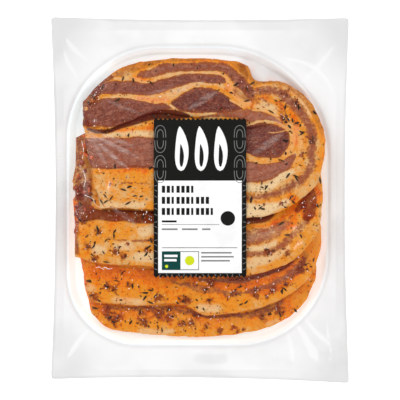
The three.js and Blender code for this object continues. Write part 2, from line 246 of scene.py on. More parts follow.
# a material, or another owner of shader nodes, under construction
class Paint:
    def __init__(self, name, owner=None):
        self.material = owner or bpy.data.materials.new(name)
        self.material.use_nodes = True
        self.tree = self.material.node_tree
        self.tree.nodes.clear()
        self.place = self.make("ShaderNodeTexCoord", output="Object")

    # any node: its settings first, then values or links for its sockets
    def make(self, kind, settings=None, sockets=None, output=0):
        node = self.tree.nodes.new(kind)
        for key, value in (settings or {}).items():
            setattr(node, key, value)
        for key, value in (sockets or {}).items():
            if isinstance(value, Wire):
                self.tree.links.new(value.socket, node.inputs[key])
            else:
                node.inputs[key].default_value = value
        return Wire(self, node.outputs[output])

    # an attribute that holds one value
    def value(self, name):
        return self.make("ShaderNodeAttribute", {"attribute_name": name}, output="Fac")

    # an attribute that holds four values
    def values(self, name):
        colour = self.make("ShaderNodeAttribute", {"attribute_name": name}, output="Color")
        parts = [self.make("ShaderNodeSeparateColor", None, {0: colour}, output=n) for n in range(3)]
        return parts + [self.make("ShaderNodeAttribute", {"attribute_name": name}, output="Alpha")]

    def mixed(self, first, second, share):
        settings = {"data_type": "RGBA", "blend_type": "MIX", "clamp_factor": True}
        return self.make("ShaderNodeMix", settings, {0: share, 6: first, 7: second}, output=2)

    # colours laid over each other, each given by its name in a look and its share
    def layered(self, look, first, *layers):
        colour = look[first] if isinstance(first, str) else first
        for name, share in layers:
            colour = self.mixed(colour, look[name], share)
        return colour

    def noise(self, scale, detail=4.0, roughness=0.55, at=None, distortion=0.0):
        sockets = {"Vector": at or self.place, "Scale": scale, "Detail": detail, "Roughness": roughness}
        return self.make("ShaderNodeTexNoise", None, dict(sockets, Distortion=distortion))

    def stretched(self, by, at=None, turn=0.0):
        sockets = {"Vector": at or self.place, "Scale": by, "Rotation": (0, 0, turn)}
        return self.make("ShaderNodeMapping", None, sockets)

    def bump(self, height, depth, strength):
        return self.make("ShaderNodeBump", None, {"Height": height, "Distance": depth, "Strength": strength})

    def principled(self, sockets):
        return self.make("ShaderNodeBsdfPrincipled", None, sockets)

    def finish(self, surface, end="ShaderNodeOutputMaterial"):
        end = self.tree.nodes.new(end)
        self.tree.links.new(surface.socket, end.inputs["Surface"])
        return self.material


def dress(piece, material, slot, *nodes):
    piece.data.materials.append(material)
    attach(piece, "root")
    if nodes:
        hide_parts(*nodes)
    return piece


# the camera's span in millimetres across the picture, its distance and reach in metres
view = {"span": 272.0, "distance": 3.2, "sensor": 36.0, "aimHeight": 9.0, "reach": 20}


def setUpCamera():
    scene = bpy.context.scene
    scene.view_settings.view_transform = "Standard"
    camera = bpy.data.objects.new("camera", bpy.data.cameras.new("camera"))
    scene.collection.objects.link(camera)
    camera.location = (0, 0, view["distance"] + view["aimHeight"] * millimetre)
    camera.data.sensor_width = view["sensor"]
    camera.data.lens = view["sensor"] * view["distance"] / (view["span"] * millimetre)
    camera.data.clip_end = view["reach"]
    scene.camera = camera


# white all round, and darker overhead, so that wet and clear surfaces don't mirror it as haze
light = {
    "surround": 0.85, "overhead": 0.08, "overheadBetween": (0.62, 0.97),
    "panels": [  # place and size in metres, watts, and whether it shows in reflections
        ((-1.0, 1.2, 1.5), (1.5, 1.0), 14.0, True),
        ((1.3, 0.4, 1.6), (0.7, 1.4), 7.6, False),
        ((0.0, -1.5, 1.3), (1.6, 0.5), 7.7, False),
        # two small lamps near the camera's line, which only sparkle on what is wet
        ((-0.30, 0.45, 1.7), (0.05, 0.05), 1.3, True),
        ((0.42, -0.25, 1.7), (0.05, 0.05), 0.9, True),
    ],
}


def setUpLight():
    scene = bpy.context.scene
    scene.world = bpy.data.worlds.new("studio")
    sky = Paint("studio", scene.world)
    upwards = sky.make("ShaderNodeTexCoord", output="Generated")
    rise = sky.make("ShaderNodeSeparateXYZ", None, {0: upwards}, output=2)
    overhead = rise.between(*light["overheadBetween"])
    shade = sky.mixed(grey(light["surround"]), grey(light["overhead"]), overhead)
    sky.finish(sky.make("ShaderNodeBackground", None, {"Color": shade}), "ShaderNodeOutputWorld")
    for place, size, power, mirrored in light["panels"]:
        lamp = bpy.data.lights.new("panel", "AREA")
        lamp.shape, lamp.size, lamp.size_y = "RECTANGLE", size[0], size[1]
        lamp.energy = power
        panel = bpy.data.objects.new("panel", lamp)
        panel.location = place
        panel.visible_glossy = mirrored
        panel.rotation_euler = (-Vector(place)).to_track_quat("-Z", "Y").to_euler()
        scene.collection.objects.link(panel)


# a floor that is lit a little from below, as a light table is
floorLook = {"half": 3000.0, "height": -0.1, "greys": (0.5, 0.52), "grain": 40.0, "rough": 0.8, "lit": 0.72}


def makeFloor():
    half, height = floorLook["half"], floorLook["height"]
    corners = [(-half, -half, height), (half, -half, height), (half, half, height), (-half, half, height)]
    floor = makePiece("floor", corners, [[0, 1, 2, 3]], smooth=False)
    paint = Paint("floor")
    first, second = (grey(share) for share in floorLook["greys"])
    colour = paint.mixed(first, second, paint.noise(floorLook["grain"]))
    surface = paint.principled({
        "Base Color": colour, "Roughness": floorLook["rough"],
        "Emission Color": grey(1.0), "Emission Strength": floorLook["lit"]})
    floor.data.materials.append(paint.finish(surface))


# the pack's outline, its flange and the seal along its edge, which the web and the film share
pack = {
    "halfWidth": 101.3, "halfLength": 124.4, "flange": 9.0, "thick": 0.7, "sealWidth": 8.5, "sealRound": 9.0,
    "pinchLeft": 3.0, "pinchRight": 2.8, "pinchTop": 1.7, "pinchBottom": 2.4,
    "dropTopRight": 0.6, "dropBottomLeft": 2.7, "cornerReach": 0.03, "cornerCut": 0.006,
}
cavity = {"left": -90, "right": 86.5, "bottom": -98.5, "top": 104}
cavityRadii = {"topRight": 75, "topLeft": 62, "bottomLeft": 48, "bottomRight": 60}
sealBox = {"left": -pack["halfWidth"] + pack["sealWidth"], "right": pack["halfWidth"] - pack["sealWidth"],
           "bottom": -pack["halfLength"] + pack["sealWidth"], "top": pack["halfLength"] - pack["sealWidth"]}
sealRadii = dict.fromkeys(cavityRadii, pack["sealRound"])


# the pack's left, right, bottom and top level with a place of -1..1 each way, drawn in at their middles
def sidesAt(u, v):
    bowX, bowY, across = 1 - v * v, 1 - u * u, (u + 1) / 2
    left = -pack["halfWidth"] + pack["pinchLeft"] * bowX
    right = pack["halfWidth"] - pack["pinchRight"] * bowX
    bottom = -pack["halfLength"] + pack["dropBottomLeft"] * (1 - across) + pack["pinchBottom"] * bowY
    top = pack["halfLength"] - pack["dropTopRight"] * across - pack["pinchTop"] * bowY
    return left, right, bottom, top


# that place in millimetres, with the pack's corners rounded off
def packPoint(u, v):
    left, right, bottom, top = sidesAt(u, v)
    corner = np.maximum(np.abs(u) + np.abs(v) - 2 + pack["cornerReach"], 0) / pack["cornerReach"]
    shrink = 1 - pack["cornerCut"] * corner ** 2
    return blend(left, right, (u + 1) / 2) * shrink, blend(bottom, top, (v + 1) / 2) * shrink


# how far a place lies from the nearest of the pack's four sides
def edgeDistance(x, y):
    u = clip01((x / pack["halfWidth"] + 1) / 2) * 2 - 1
    v = clip01((y / pack["halfLength"] + 1) / 2) * 2 - 1
    left, right, bottom, top = sidesAt(u, v)
    return np.minimum(np.minimum(x - left, right - x), np.minimum(y - bottom, top - y))


# how far a place lies inside a rectangle with four corner radii
def depthInside(x, y, box, radii):
    middleX, middleY = (box["left"] + box["right"]) / 2, (box["bottom"] + box["top"]) / 2
    upper = np.where(x > middleX, radii["topRight"], radii["topLeft"])
    lower = np.where(x > middleX, radii["bottomRight"], radii["bottomLeft"])
    r = np.where(y > middleY, upper, lower)
    beyondX = np.abs(x - middleX) - (box["right"] - box["left"]) / 2 + r
    beyondY = np.abs(y - middleY) - (box["top"] - box["bottom"]) / 2 + r
    outside = np.hypot(np.maximum(beyondX, 0), np.maximum(beyondY, 0))
    return r - outside - np.minimum(np.maximum(beyondX, beyondY), 0)


def cavityDepth(x, y):
    return depthInside(x, y, cavity, cavityRadii)


def sealDepth(x, y):
    return depthInside(x, y, sealBox, sealRadii)


# the flange's upper face: level at the cavity, with slow waves that grow towards the edge
def flangeAt(x, y):
    outwards = clip01(-cavityDepth(x, y) / 30)
    wave = np.sin(x * 0.045 + 0.6) + np.sin(y * 0.04 - 1.1)
    return pack["flange"] + (0.3 * wave + lumpsOf(x, y, (0.28, 22, 11), (0.08, 9, 12))) * outwards


# stations lie along a slice, steps across it; slope is how far a slice takes to climb onto the one below
slicing = {"thick": 8.05, "step": 8.25, "bed": 1.05, "slope": 38.0, "slitBack": -0.25, "square": 4.0,
           "crowding": 0.72, "stations": 420, "slitSteps": 400, "topSteps": 176, "underSteps": 40,
           "endRound": 5.0, "endFull": 0.3, "endReach": (0.0, -1.6, -0.6, 0.0), "uvLength": 50,
           "leanSinks": 0.35, "clumpHeight": 0.35,
           # lumps as (height, size, seed): on the rim, over the top, on what is dry and on the clumps
           "rimLumps": [(0.45, 6, 43), (0.22, 2.4, 44)],
           "topLumps": [(0.42, 15, 45), (0.2, 6, 46), (0.1, 2.2, 47)],
           "dryLumps": [(0.12, 1.1, 48)], "clumpLumps": [(0.3, 1.6, 49)]}

# how the strokes are laid: their soft edges, how far their outlines wander, and the colour at the rim
painting = {"soft": {"fat": 0.9, "orange": 4.0, "cream": 3.0, "juice": 2.0, "shade": 2.4, "core": 2.0},
            "wanderX": [(0.8, 9, 31), (0.35, 4.6, 32)], "wanderY": [(0.8, 9, 33), (0.35, 4.6, 34)],
            "warmLumps": [(0.16, 14, 35), (0.12, 5, 36)], "leastLean": 0.25, "fatCutsLean": 0.85,
            "fatLineCream": 0.3,
            # at the rim, as a strength and the start and width across the strip; then where the top begins
            # rimDark browns the fat at the rim: marinade colour with painted shade where the rim curves down
            "rimDark": (0.5, 0.76, 0.16), "rimWarm": (0.18, 0.86, 0.14), "rimPale": (0.3, 0.55, 0.45),
            "darkTop": (35, 20), "warmTop": (20, 25)}

# The slices from the top of the pack to the bottom. Slit and rim are as in the solids. The tissue is
# painted in strokes of (x, y, half width): "lean" with its share, darkness and soft edge, "fat" for
# lines of fat through the lean, and the others with their strength; "shade" is painted shade in the slit
# and under the edge of the slice above. Clumps of spice are (x, y, radius).
slices = [
    {
        "name": "slice_1", "head": 97, "warm": 0.36,
        "slit": [(-79, 48.5), (-68, 45.6), (-51.7, 51), (-32, 58), (0, 55), (32, 48.5), (47, 51)],
        "rim": [(-68, -5.4), (-32, -6.8), (0, -9.5), (31, -12.1), (48, -10.2), (64.6, -2.4), (77.2, 8.5),
            (82.6, 21), (85, 38), (81.6, 54.4), (71.4, 70.7), (55, 80.5), (37, 82.3), (32, 91.5),
            (17, 95.2), (0, 96.6), (-34, 95.2), (-54.4, 89.8), (-71.4, 76.2), (-80.2, 64.6)],
        "lean": [
            (0.85, 0.35, 3.4, [(-41, 85, 1.5), (-32, 86.5, 3.2), (-24, 89, 3.4), (-7, 90.4, 3.2),
                (11, 90, 3.3), (18, 88.6, 3.4), (23, 85, 3.6), (29, 79, 4), (34, 72.5, 3.2)]),
            (1, 0.6, 1.8, [(-74, 72, 2.3), (-66, 75, 3.4), (-57, 76, 4.5), (-44, 76, 4.6),
                (-32, 76.2, 4.4), (-15, 80.6, 4), (-4, 82.6, 3.5), (9, 82.4, 3.2), (16, 81, 2.3),
                (19, 80, 0.9)]),
            (1, 0.6, 1.8, [(-78, 57, 7), (-70, 58.6, 9), (-62, 59.4, 10.2), (-54, 60, 9.3),
                (-45, 61, 7.8), (-36, 61.4, 5.8), (-28, 62.4, 4), (-22, 63, 2.5), (-18, 63, 1.1)]),
            (1, 1, 1.8, [(-17, 66, 2.5), (-11, 66, 5.8), (-3, 67.6, 8), (5, 68, 8.2), (13, 66, 7),
                (19, 64, 4.7), (28, 62, 0.8)]),
            (0.8, 0.1, 2.6, [(0, 57, 0.8), (11, 57.6, 1.5), (21, 58, 2.1), (27, 58.4, 2.8)]),
            (0.85, -0.3, 4, [(27, 58, 3.3), (33, 57, 4.6), (39, 56.2, 4.2), (45, 56, 3.2),
                (50, 55.6, 1.9), (54, 54.6, 0.7)]),
            (0.36, 0.5, 6, [(22, 74, 4), (30, 69, 5), (40, 67, 5), (50, 66, 4.6), (57, 60, 3.6)]),
            (0.7, 0.15, 4, [(34, 73, 2.2), (41, 74, 3), (47, 75, 3), (51, 73, 2.2)]),
            (0.72, 0.2, 5.5, [(48, 75, 2.6), (54, 73, 3.3), (60, 68, 3.9), (66, 62.5, 3.8), (71, 56, 3.6),
                (74.5, 48, 3.5), (76, 40, 3.2), (75.5, 31, 3.1), (75, 24, 3.2), (71.5, 17, 3), (66, 12, 3),
                (59, 7.6, 2.8), (50, 3.8, 2.6), (42, 2, 2.4), (32, 1.6, 1.9), (20, 1.4, 1)]),
            (1, 0.85, 1.8, [(4, 46, 2), (16, 43.6, 5.6), (27, 41.4, 9.6), (38, 40.4, 11.4),
                (48.6, 40.2, 12)]),
            (1, 0.15, 1.8, [(4, 21, 7), (24, 19, 7.3), (34, 19, 6.8), (43, 19, 5.8), (51, 20.4, 4.8),
                (57.5, 24, 3.9), (62, 28, 2.3), (65, 31, 0.7)]),
            (1, 0.25, 1.8, [(-77, 33, 9.2), (-66, 32, 10), (-50, 32, 10.3), (-30, 32, 10.3),
                (-12, 28, 9.5), (4, 21, 7)]),
            (0.5, 0, 1.8, [(-54, 11.2, 0.6), (-50, 11, 0.9), (-46, 11, 0.7)]),
            (0.5, 0, 1.8, [(-43, 10.6, 0.7), (-38, 11, 1), (-33, 11, 0.7)]),
        ],
        "fat": [
            [(-66, 69.4, 0.5), (-57, 70, 0.7), (-49, 70, 1.1), (-43, 69.4, 1.6), (-36, 68.6, 2.2),
                (-29, 68.2, 2.9), (-22, 70, 2.7), (-15, 74, 1.9), (-7, 77.4, 1.4), (1, 78.8, 0.9),
                (11, 78.4, 0.8), (17, 76, 1.3)],
            [(-23, 66.4, 1), (-18, 63, 0.9), (-15, 60, 0.9), (-9, 58.4, 1.2), (0, 58.6, 0.7),
                (11, 59.6, 0.5)],
            [(-58, 82, 0.7), (-49, 82.6, 1.2), (-43, 82, 1.4), (-37, 80.8, 1.1), (-31, 81.4, 0.7),
                (-24, 84, 0.7), (-15, 86, 0.6), (2, 86.8, 0.6), (11, 86, 0.8), (17, 83.4, 1),
                (19.4, 80, 1.5)],
            [(20, 78.6, 2.4), (25, 73, 3.2), (28.6, 69, 3.2), (32, 66, 2.6)],
            [(20, 68, 0.7), (25, 65.8, 0.9), (30, 64, 1.4)],
            [(35, 60.4, 0.5), (45, 60.2, 0.7), (50, 58.4, 0.8), (54, 56, 0.9)],
            [(32, 50.2, 0.4), (39, 52.4, 0.7), (45, 53.6, 0.8), (52, 53.6, 0.5)],
            [(4, 36, 0.8), (20, 33.6, 1.2), (32, 30.4, 1.4), (39, 27, 1.4), (47, 25.6, 1.3), (55, 28, 1.4),
                (61, 33, 1.6), (63, 39, 1.7), (62, 45, 1.8), (58, 50.6, 1.7)],
            [(-81, 62, 1.1), (-77, 62, 1.2)],
            [(47, 46.4, 0.3), (52, 46, 0.4), (58, 47.6, 0.4)],
        ],
        "orange": [
            (0.7, [(-44, 83, 1.7), (-38, 82, 1.4), (-32, 81, 0.8)]),
            (0.7, [(-41, 69, 2), (-32, 68, 2.5), (-23, 68, 2.5)]),
            (0.3, [(-55, 88, 2.5), (-43, 90, 2.5), (-32, 92, 1.7), (-15, 94.6, 1.4), (5, 95, 1.8),
                (13, 94, 2.4), (21, 94, 2.7), (27, 92, 3), (32, 87, 3), (34, 82, 2.4)]),
            (0.4, [(19, 78, 2.4), (25, 72, 3), (30, 67, 2.4), (37, 63, 3)]),
            (0.5, [(43, 69.4, 2.2), (51, 66, 2.4), (57, 62, 2)]),
            (0.6, [(62, 61, 2.4), (65, 52, 2), (64, 45, 2.4), (65, 38, 1.8)]),
            (0.35, [(63, 75, 2), (72, 67, 2.6), (78, 57, 2.7), (82, 47, 2.7), (83, 38, 2.3), (82, 29, 2.3),
                (81, 20, 2.3)]),
            (0.9, [(61, 1.4, 2.4), (63, 0.6, 2.4)]),
            (0.6, [(-62, 46, 1.2), (-46, 48, 1.6), (-30, 50, 1.9)]),
            (0.5, [(-73, 20, 1.5), (-55, 20, 1.5), (-30, 20.6, 1.5)]),
        ],
        "cream": [
            (1, [(28, -6, 4.2), (42, -7, 3.9), (51, -5, 2.7), (59, -1, 1.8)]),
            (1, [(28, 9, 2.7), (45, 9, 2.6), (54, 14, 2.2), (62, 19, 1.8)]),
            (0.6, [(38, 63, 1.8), (48, 63, 1.8)]),
            (0.5, [(42, 67, 1.6), (50, 61, 2.2)]),
            (0.25, [(60, 53, 1.8), (66, 45, 2.2), (68, 36, 2.2)]),
            (0.6, [(58, 77, 1.4), (65, 73, 1.5), (71, 66, 1.7), (75, 58, 1.5)]),
            (0.7, [(-65, 43.6, 0.9), (-52, 45, 1.4), (-38, 45, 1.9), (-30, 45, 2)]),
            (0.6, [(-68, -2.6, 2.2), (-55, -4, 2), (-38, -4, 1.7)]),
            (0.7, [(-56, 86, 1.2), (-49, 86.6, 1.4)]),
        ],
        "juice": [
            (0.75, [(-79, 67, 2.6), (-74, 72, 2.6), (-66, 79, 2), (-60, 83, 1.6)]),
            (0.6, [(-80, 64, 2), (-79, 56, 3.2), (-75, 50, 2.4), (-68, 49, 1)]),
            (0.5, [(-77, 40, 1.2), (-75, 30, 1), (-73, 20, 1.2)]),
            (0.5, [(-73, 22.6, 1), (-50, 22, 1.4), (-30, 22.6, 1.2)]),
            (0.6, [(25, 78, 2), (30, 84, 3), (28, 91, 2.5)]),
            (0.55, [(24, 75, 1.6), (28, 72, 2.2), (33, 68.4, 1.8)]),
        ],
        "shade": [
            (1, [(-76, 48, 0.8), (-70, 46.6, 1.4), (-62, 46.8, 1.5), (-55, 49.6, 1.7), (-46, 52.4, 2),
                (-38, 55.4, 2.6), (-30, 57.6, 3), (-22, 58.2, 3.3), (-14, 57.8, 2.8), (-8, 56.8, 1.4)]),
            (0.3, [(-70, 48.6, 1.6), (-58, 51.6, 2), (-46, 55.6, 2.4), (-34, 59.6, 2.2),
                (-24, 61.4, 1.2)]),
            (0.7, [(20, 49.6, 1), (30, 48.4, 1.1), (36, 49, 1), (42, 50.4, 0.5)]),
        ],
        "clumps": [(57, 56, 3.2), (65, 66, 2.4), (58, 73, 2.4), (75, 41, 3), (32, 75, 2.7), (-71, 70, 3.2),
            (-73, 65, 3), (44, -3, 1.6), (55, -3, 1.4), (58, -2, 1.4), (69, 31, 2.1), (14, 62, 2)],
    },
    {
        "name": "slice_2", "head": 54, "warm": 0.5,
        "slit": [(-84, 3), (-40, 2), (0, 0), (40, -3)],
        "rim": [(-81.7, -38.8), (-72.4, -42.2), (-32, -45.2), (0, -47.3), (31.3, -50.9), (46, -48.5),
            (60.5, -42.2), (72.1, -32.6), (79.2, -22.2), (82.6, -8), (83, 10), (79, 28), (67, 43), (46, 51),
            (0, 54), (-42, 53), (-70, 50), (-82.5, 43)],
        "lean": [
            (0.58, -0.5, 6, [(10, -25, 5.4), (24, -26, 5.8), (34, -25, 5.8), (42, -24, 5.8),
                (50, -21, 5.2), (56, -17, 4), (61, -13, 1.8)]),
            (0.66, 0, 5, [(14, -37, 1.6), (24, -36.6, 2.2), (42, -36, 2.6), (50, -33.4, 2.6),
                (58, -28.4, 2.6), (65, -22, 2.5), (72, -15, 2.2)]),
            (0.5, 0, 1.8, [(-63, -26, 0.6), (-55, -27, 0.9), (-50, -27.6, 0.6)]),
            (0.6, 0, 1.8, [(-46, -27.6, 0.9), (-40, -27, 1.3), (-32, -26.4, 1.1)]),
            (0.5, 0.5, 1.8, [(-84, 40, 5), (-84, 20, 5), (-82, 4, 5)]),
        ],
        "fat": [
            [(10, -17, 1), (32, -17.2, 1), (42, -17.6, 1), (51, -14.6, 1), (60, -9.4, 1)],
        ],
        "orange": [
            (0.8, [(-84, 3, 1.8), (-84, -8, 1.6), (-84, -20, 1.4), (-84, -30, 1.6), (-82, -37, 1.4)]),
            (0.6, [(10, -17, 1), (32, -17, 1), (42, -18, 1), (51, -15, 1), (59, -10, 1)]),
            (0.6, [(60, -18, 2.4), (64, -15, 2.7), (64, -11, 2.1)]),
            (0.6, [(62, -8, 4), (70, -3, 5), (76, 4, 6), (74, -8, 6)]),
            (0.15, [(83, 6, 3), (83, -6, 3), (82, -16, 2.6), (79, -23, 1.8)]),
            (0.5, [(31, -21, 2.6), (35, -21.6, 2)]),
            (0.4, [(-79, -21, 2.8), (-77, -36, 2.8)]),
        ],
        "cream": [
            (0.6, [(-56, -31, 2.4), (-48, -31, 2.6)]),
            (0.7, [(-39, -21, 3.2), (-33, -20, 3.4)]),
            (0.6, [(-71, -33, 2.6), (-66, -34, 2.6)]),
            (0.7, [(-42, -38, 3.2), (-32, -39, 3.4)]),
            (0.8, [(10, -33, 1.4), (32, -33, 1.6), (42, -32, 1.6), (50, -29, 1.6)]),
            (0.5, [(24, -24, 2.6), (36, -23, 3), (48, -20, 2.4)]),
            (0.5, [(14, -43, 3.4), (32, -42.6, 3), (42, -41, 2.6), (51, -38, 2.6), (59, -33, 2.4)]),
        ],
        "juice": [
            (0.7, [(-84, -16, 2.4), (-84, -35, 2.4)]),
            (0.95, [(-80, -9, 5), (-68, -9.6, 3.8), (-60, -10.4, 3.9), (-49, -11.4, 4), (-32, -12, 4),
                (0, -13.4, 4)]),
            (0.5, [(-80, 44, 5.6), (-79, 27, 5.6), (-79, 10, 5.4)]),
            (0.8, [(-79, 8, 5.4), (-78, -2, 5.2), (-78, -9, 4.6)]),
            (0.95, [(10, -13.6, 2.6), (24, -14, 2.7), (32, -14, 2.6), (42, -13, 2.3), (48, -11, 1.5),
                (53, -8, 0.8)]),
            (0.75, [(66, -7, 2.2), (71, -1, 3.4), (74, 6, 3.4), (74, -7, 4.4), (72, -12, 2.6)]),
        ],
        "shade": [
            (0.8, [(-66, -6.6, 0.7), (-32, -8.4, 0.9), (0, -11, 1), (31, -13.4, 1.2), (44, -12, 0.9),
                (53, -8, 0.5)]),
        ],
        "clumps": [(-79, -14, 2.6), (-69, -22, 2.4), (-76, -31, 2.3), (-57, -35, 3), (-51, -38, 2.6),
            (-71, -39, 3), (-36, -33, 2.2), (-49, -30, 1.6), (46, -35, 3), (59, -37, 2.2)],
    },
    {
        "name": "slice_3", "head": 16, "warm": 0.76,
        "slit": [(-82, -33), (-40, -32), (0, -34), (42, -38)],
        "rim": [(-74.5, -69.4), (-46.2, -71.4), (-12.2, -71.4), (3.4, -78.2), (11.2, -78.2), (37.4, -74.1),
            (56.4, -66.6), (70.4, -56.9), (78.7, -43.9), (82.3, -30.6), (81.5, -15), (74, 1), (60, 11),
            (40, 15), (0, 16), (-42, 15), (-70, 12), (-82, 2)],
        "lean": [
            (0.85, 0.5, 2.6, [(0, -54, 1.4), (22, -54.6, 1.6), (30, -53.6, 2), (38, -51.6, 2),
                (46, -49.4, 2), (55, -46, 1.6), (61, -41.4, 1.2)]),
            (0.58, 0.2, 5, [(-22, -54, 1.2), (-12, -57, 2.4), (-3, -59.4, 3), (6, -61, 3), (14, -62, 2)]),
            (0.74, 0.35, 5.5, [(17, -63, 2.2), (23, -63.4, 2.8), (30, -63, 1.5), (37, -61.4, 2.6),
                (46, -58, 2), (54, -55, 2.8), (61, -50, 3.2), (67, -46, 3.2), (71, -41, 2.6)]),
        ],
        "fat": [],
        "orange": [
            (0.75, [(-76, -48.4, 3.4), (-62, -49.4, 3.2), (-45, -50.2, 2.9), (-30, -50.6, 2.8),
                (-14, -51.4, 2.3)]),
            (0.9, [(8, -57.4, 1.8), (23, -58, 2.1), (32, -58, 2.3), (43, -57, 2.4), (51, -53, 2.2),
                (56, -48, 2.1), (61, -42.4, 1.8)]),
            (0.4, [(-80, -45, 2.5), (-79, -54, 2.3)]),
            (0.5, [(36, -63, 3), (48, -60, 3.4), (60, -54, 3.4), (68, -47, 2.6)]),
            (0.15, [(78, -41, 2.2), (74, -48, 1.8), (81, -30, 2.4)]),
        ],
        "cream": [
            (0.6, [(0, -73, 2.6), (11, -73.4, 2.8)]),
            (0.5, [(-57, -67, 2.2), (-49, -68.6, 2.3), (-40, -69, 2.3)]),
            (0.5, [(-75, -59, 2.4), (-73, -60, 2.4)]),
        ],
        "juice": [
            (0.22, [(-70, -48.6, 3), (-50, -49.8, 3), (-30, -50.4, 2.8), (-14, -51, 2)]),
            (0.6, [(20, -53.4, 1.6), (38, -51.2, 1.8), (52, -47, 1.6), (62, -41, 1.4), (70, -35, 1.4)]),
            (0.5, [(66, -45, 3), (72, -38, 2.4)]),
            (0.3, [(44, -62, 2.4), (54, -58, 3), (62, -52, 2.4)]),
        ],
        "shade": [
            (0.6, [(-70, -44, 0.5), (-32, -47.4, 0.6), (0, -49.6, 0.7), (31, -53, 0.8), (46, -50.4, 0.7),
                (60, -44, 0.5)]),
        ],
        "clumps": [(-64, -58, 2.4), (-58, -60, 2.7), (-28, -67, 3.2), (-10, -68, 3.3), (-71, -66, 2.6),
            (-49, -58, 1.6), (7, -56, 2.8), (50, -61, 2), (58, -57, 2.2), (46, -66, 1.6), (21, -64, 2.4),
            (39, -65, 2.2), (38, -61, 2.2), (69, -46, 3.2), (7, -68, 1.8), (-75, -66, 1.6)],
    },
    {
        "name": "slice_4", "head": -24, "warm": 0.8,
        "slit": [(-78, -58), (-40, -57), (0, -58), (40, -57)],
        "rim": [(-72.4, -78.2), (-64.1, -86.4), (-46.2, -90.4), (0, -93.2), (27.2, -91.1), (48, -86.4),
            (62.6, -78.2), (70.4, -70), (76, -60.5), (79, -50), (78, -39), (69, -29.5), (48, -25), (0, -24),
            (-42, -25), (-66, -29), (-79, -40)],
        "lean": [
            (0.6, 0.3, 3.6, [(-66, -72.4, 1.1), (-57, -73, 1.4), (-40, -73.4, 1.5), (-17, -74, 1.8),
                (-6, -76, 1.9), (3, -78.6, 1.5), (14, -79.4, 1.9), (23, -78.6, 2), (32, -78, 2.1),
                (41, -76, 2.5), (49, -73, 2.7), (55, -70, 2)]),
        ],
        "fat": [],
        "orange": [
            (0.15, [(58, -76, 5), (67, -67, 5.6), (73, -58, 4.4), (76, -50, 2.6)]),
        ],
        "cream": [
            (0.5, [(-41, -89, 1.5), (-29, -89.6, 1.8), (-19, -90, 1.4)]),
            (0.4, [(46, -84, 1.6), (53, -82, 1.4)]),
        ],
        "juice": [
            (0.4, [(-62, -73, 1.6), (-40, -74, 1.8), (-14, -75.4, 1.8), (4, -79.4, 1.5), (24, -79, 1.6),
                (48, -73.4, 2)]),
        ],
        "shade": [
            (0.6, [(-70, -70.6, 0.5), (-46, -73, 0.7), (-12, -73, 0.7), (3, -79.4, 0.7), (36, -75.8, 0.8),
                (56, -68, 0.7), (70, -58, 0.5)]),
        ],
        "clumps": [(-62, -79, 3.4), (-57, -81, 3.6), (-40, -77, 2.2), (-39, -83, 3.1), (-28, -78, 3.2),
            (-21, -80, 2.6), (-12, -85, 2.6), (-5, -84, 3.1), (-37, -86, 1.6), (4, -86, 1.9),
            (23, -87, 1.9), (14, -89, 1.7), (29, -88, 1.4), (53, -75, 3.2), (42, -80, 2.2), (25, -90, 1.4)],
    },
]


# the height of a slice's underside: on the cavity's floor, climbing onto each slice below it
def undersideAt(index, y):
    lifts = [ease((below["head"] + slicing["slope"] - y) / slicing["slope"]) for below in slices[index + 1:]]
    return slicing["bed"] + slicing["step"] * sum(lifts, np.zeros_like(y))


# what a slice is made of, as two sets of four values: share of lean, darkness, warmth of the fat's colour
# and juice; then creamy fat, spice clumps, painted shade and core of the lean. across goes from slit 0 to
# rim 1
def tissueAt(shape, x, y, across):
    soft = painting["soft"]
    # the outlines wander on a lattice turned away from the axes
    tx, ty = 0.8 * x + 0.6 * y, 0.8 * y - 0.6 * x
    wx, wy = x + lumpsOf(tx, ty, *painting["wanderX"]), y + lumpsOf(tx, ty, *painting["wanderY"])
    lean, core = np.zeros_like(x), np.zeros_like(x)
    rimDark, rimWarm, rimPale = (share * risen(across, start, width) for share, start, width in
                                 (painting["rimDark"], painting["rimWarm"], painting["rimPale"]))
    # at the top of the pack the fat darkens towards the rim: marinade brown with painted shade
    dark = rimDark * risen(y, *painting["darkTop"])
    for share, depth, edge, stroke in shape["lean"]:
        inside = insideStroke(wx, wy, stroke)
        cover = ease(inside / edge + 0.5) * share
        dark = np.where(cover > np.maximum(lean, painting["leastLean"]), depth, dark)
        lean = np.maximum(lean, cover)
        core = np.maximum(core, ease(inside / (edge + soft["core"])))
    line = covered(wx, wy, [(1.0, stroke) for stroke in shape["fat"]], soft["fat"])
    lean, dark = lean * (1 - painting["fatCutsLean"] * line), dark * (1 - line)
    # the rim is more orange at the top of the pack; lower down each slice fades to pale gold towards it
    upper = risen(y, *painting["warmTop"])
    warm = shape["warm"] + rimWarm * upper - shape["warm"] * rimPale * (1 - upper)
    warm = warm + lumpsOf(x, y, *painting["warmLumps"]) + covered(wx, wy, shape["orange"], soft["orange"])
    cream = covered(wx, wy, shape["cream"], soft["cream"])
    cream = np.maximum(cream, painting["fatLineCream"] * line * upper)
    juice = covered(wx, wy, shape["juice"], soft["juice"])
    # painted shade in the slit and under the edge of the slice above
    shade = covered(x, y, shape["shade"], soft["shade"])
    clump = clumpsAt(wx, wy, shape["clumps"])
    return np.stack([lean, dark, clip01(warm), juice], -1), np.stack([cream, clump, shade, core], -1)


# places from 0 to 1 that crowd at both ends: t - 0.72 sin(2 pi t) / (2 pi)
def crowded(steps):
    t = (np.arange(steps) + 0.5) / steps
    return t - slicing["crowding"] * np.sin(2 * np.pi * t) / (2 * np.pi)


# a slice's section: (1 - |2v - 1|^4)^(1/4) of the half thickness at a share v across the strip
def fullness(v):
    return (1 - np.abs(2 * v - 1) ** slicing["square"]) ** (1 / slicing["square"])


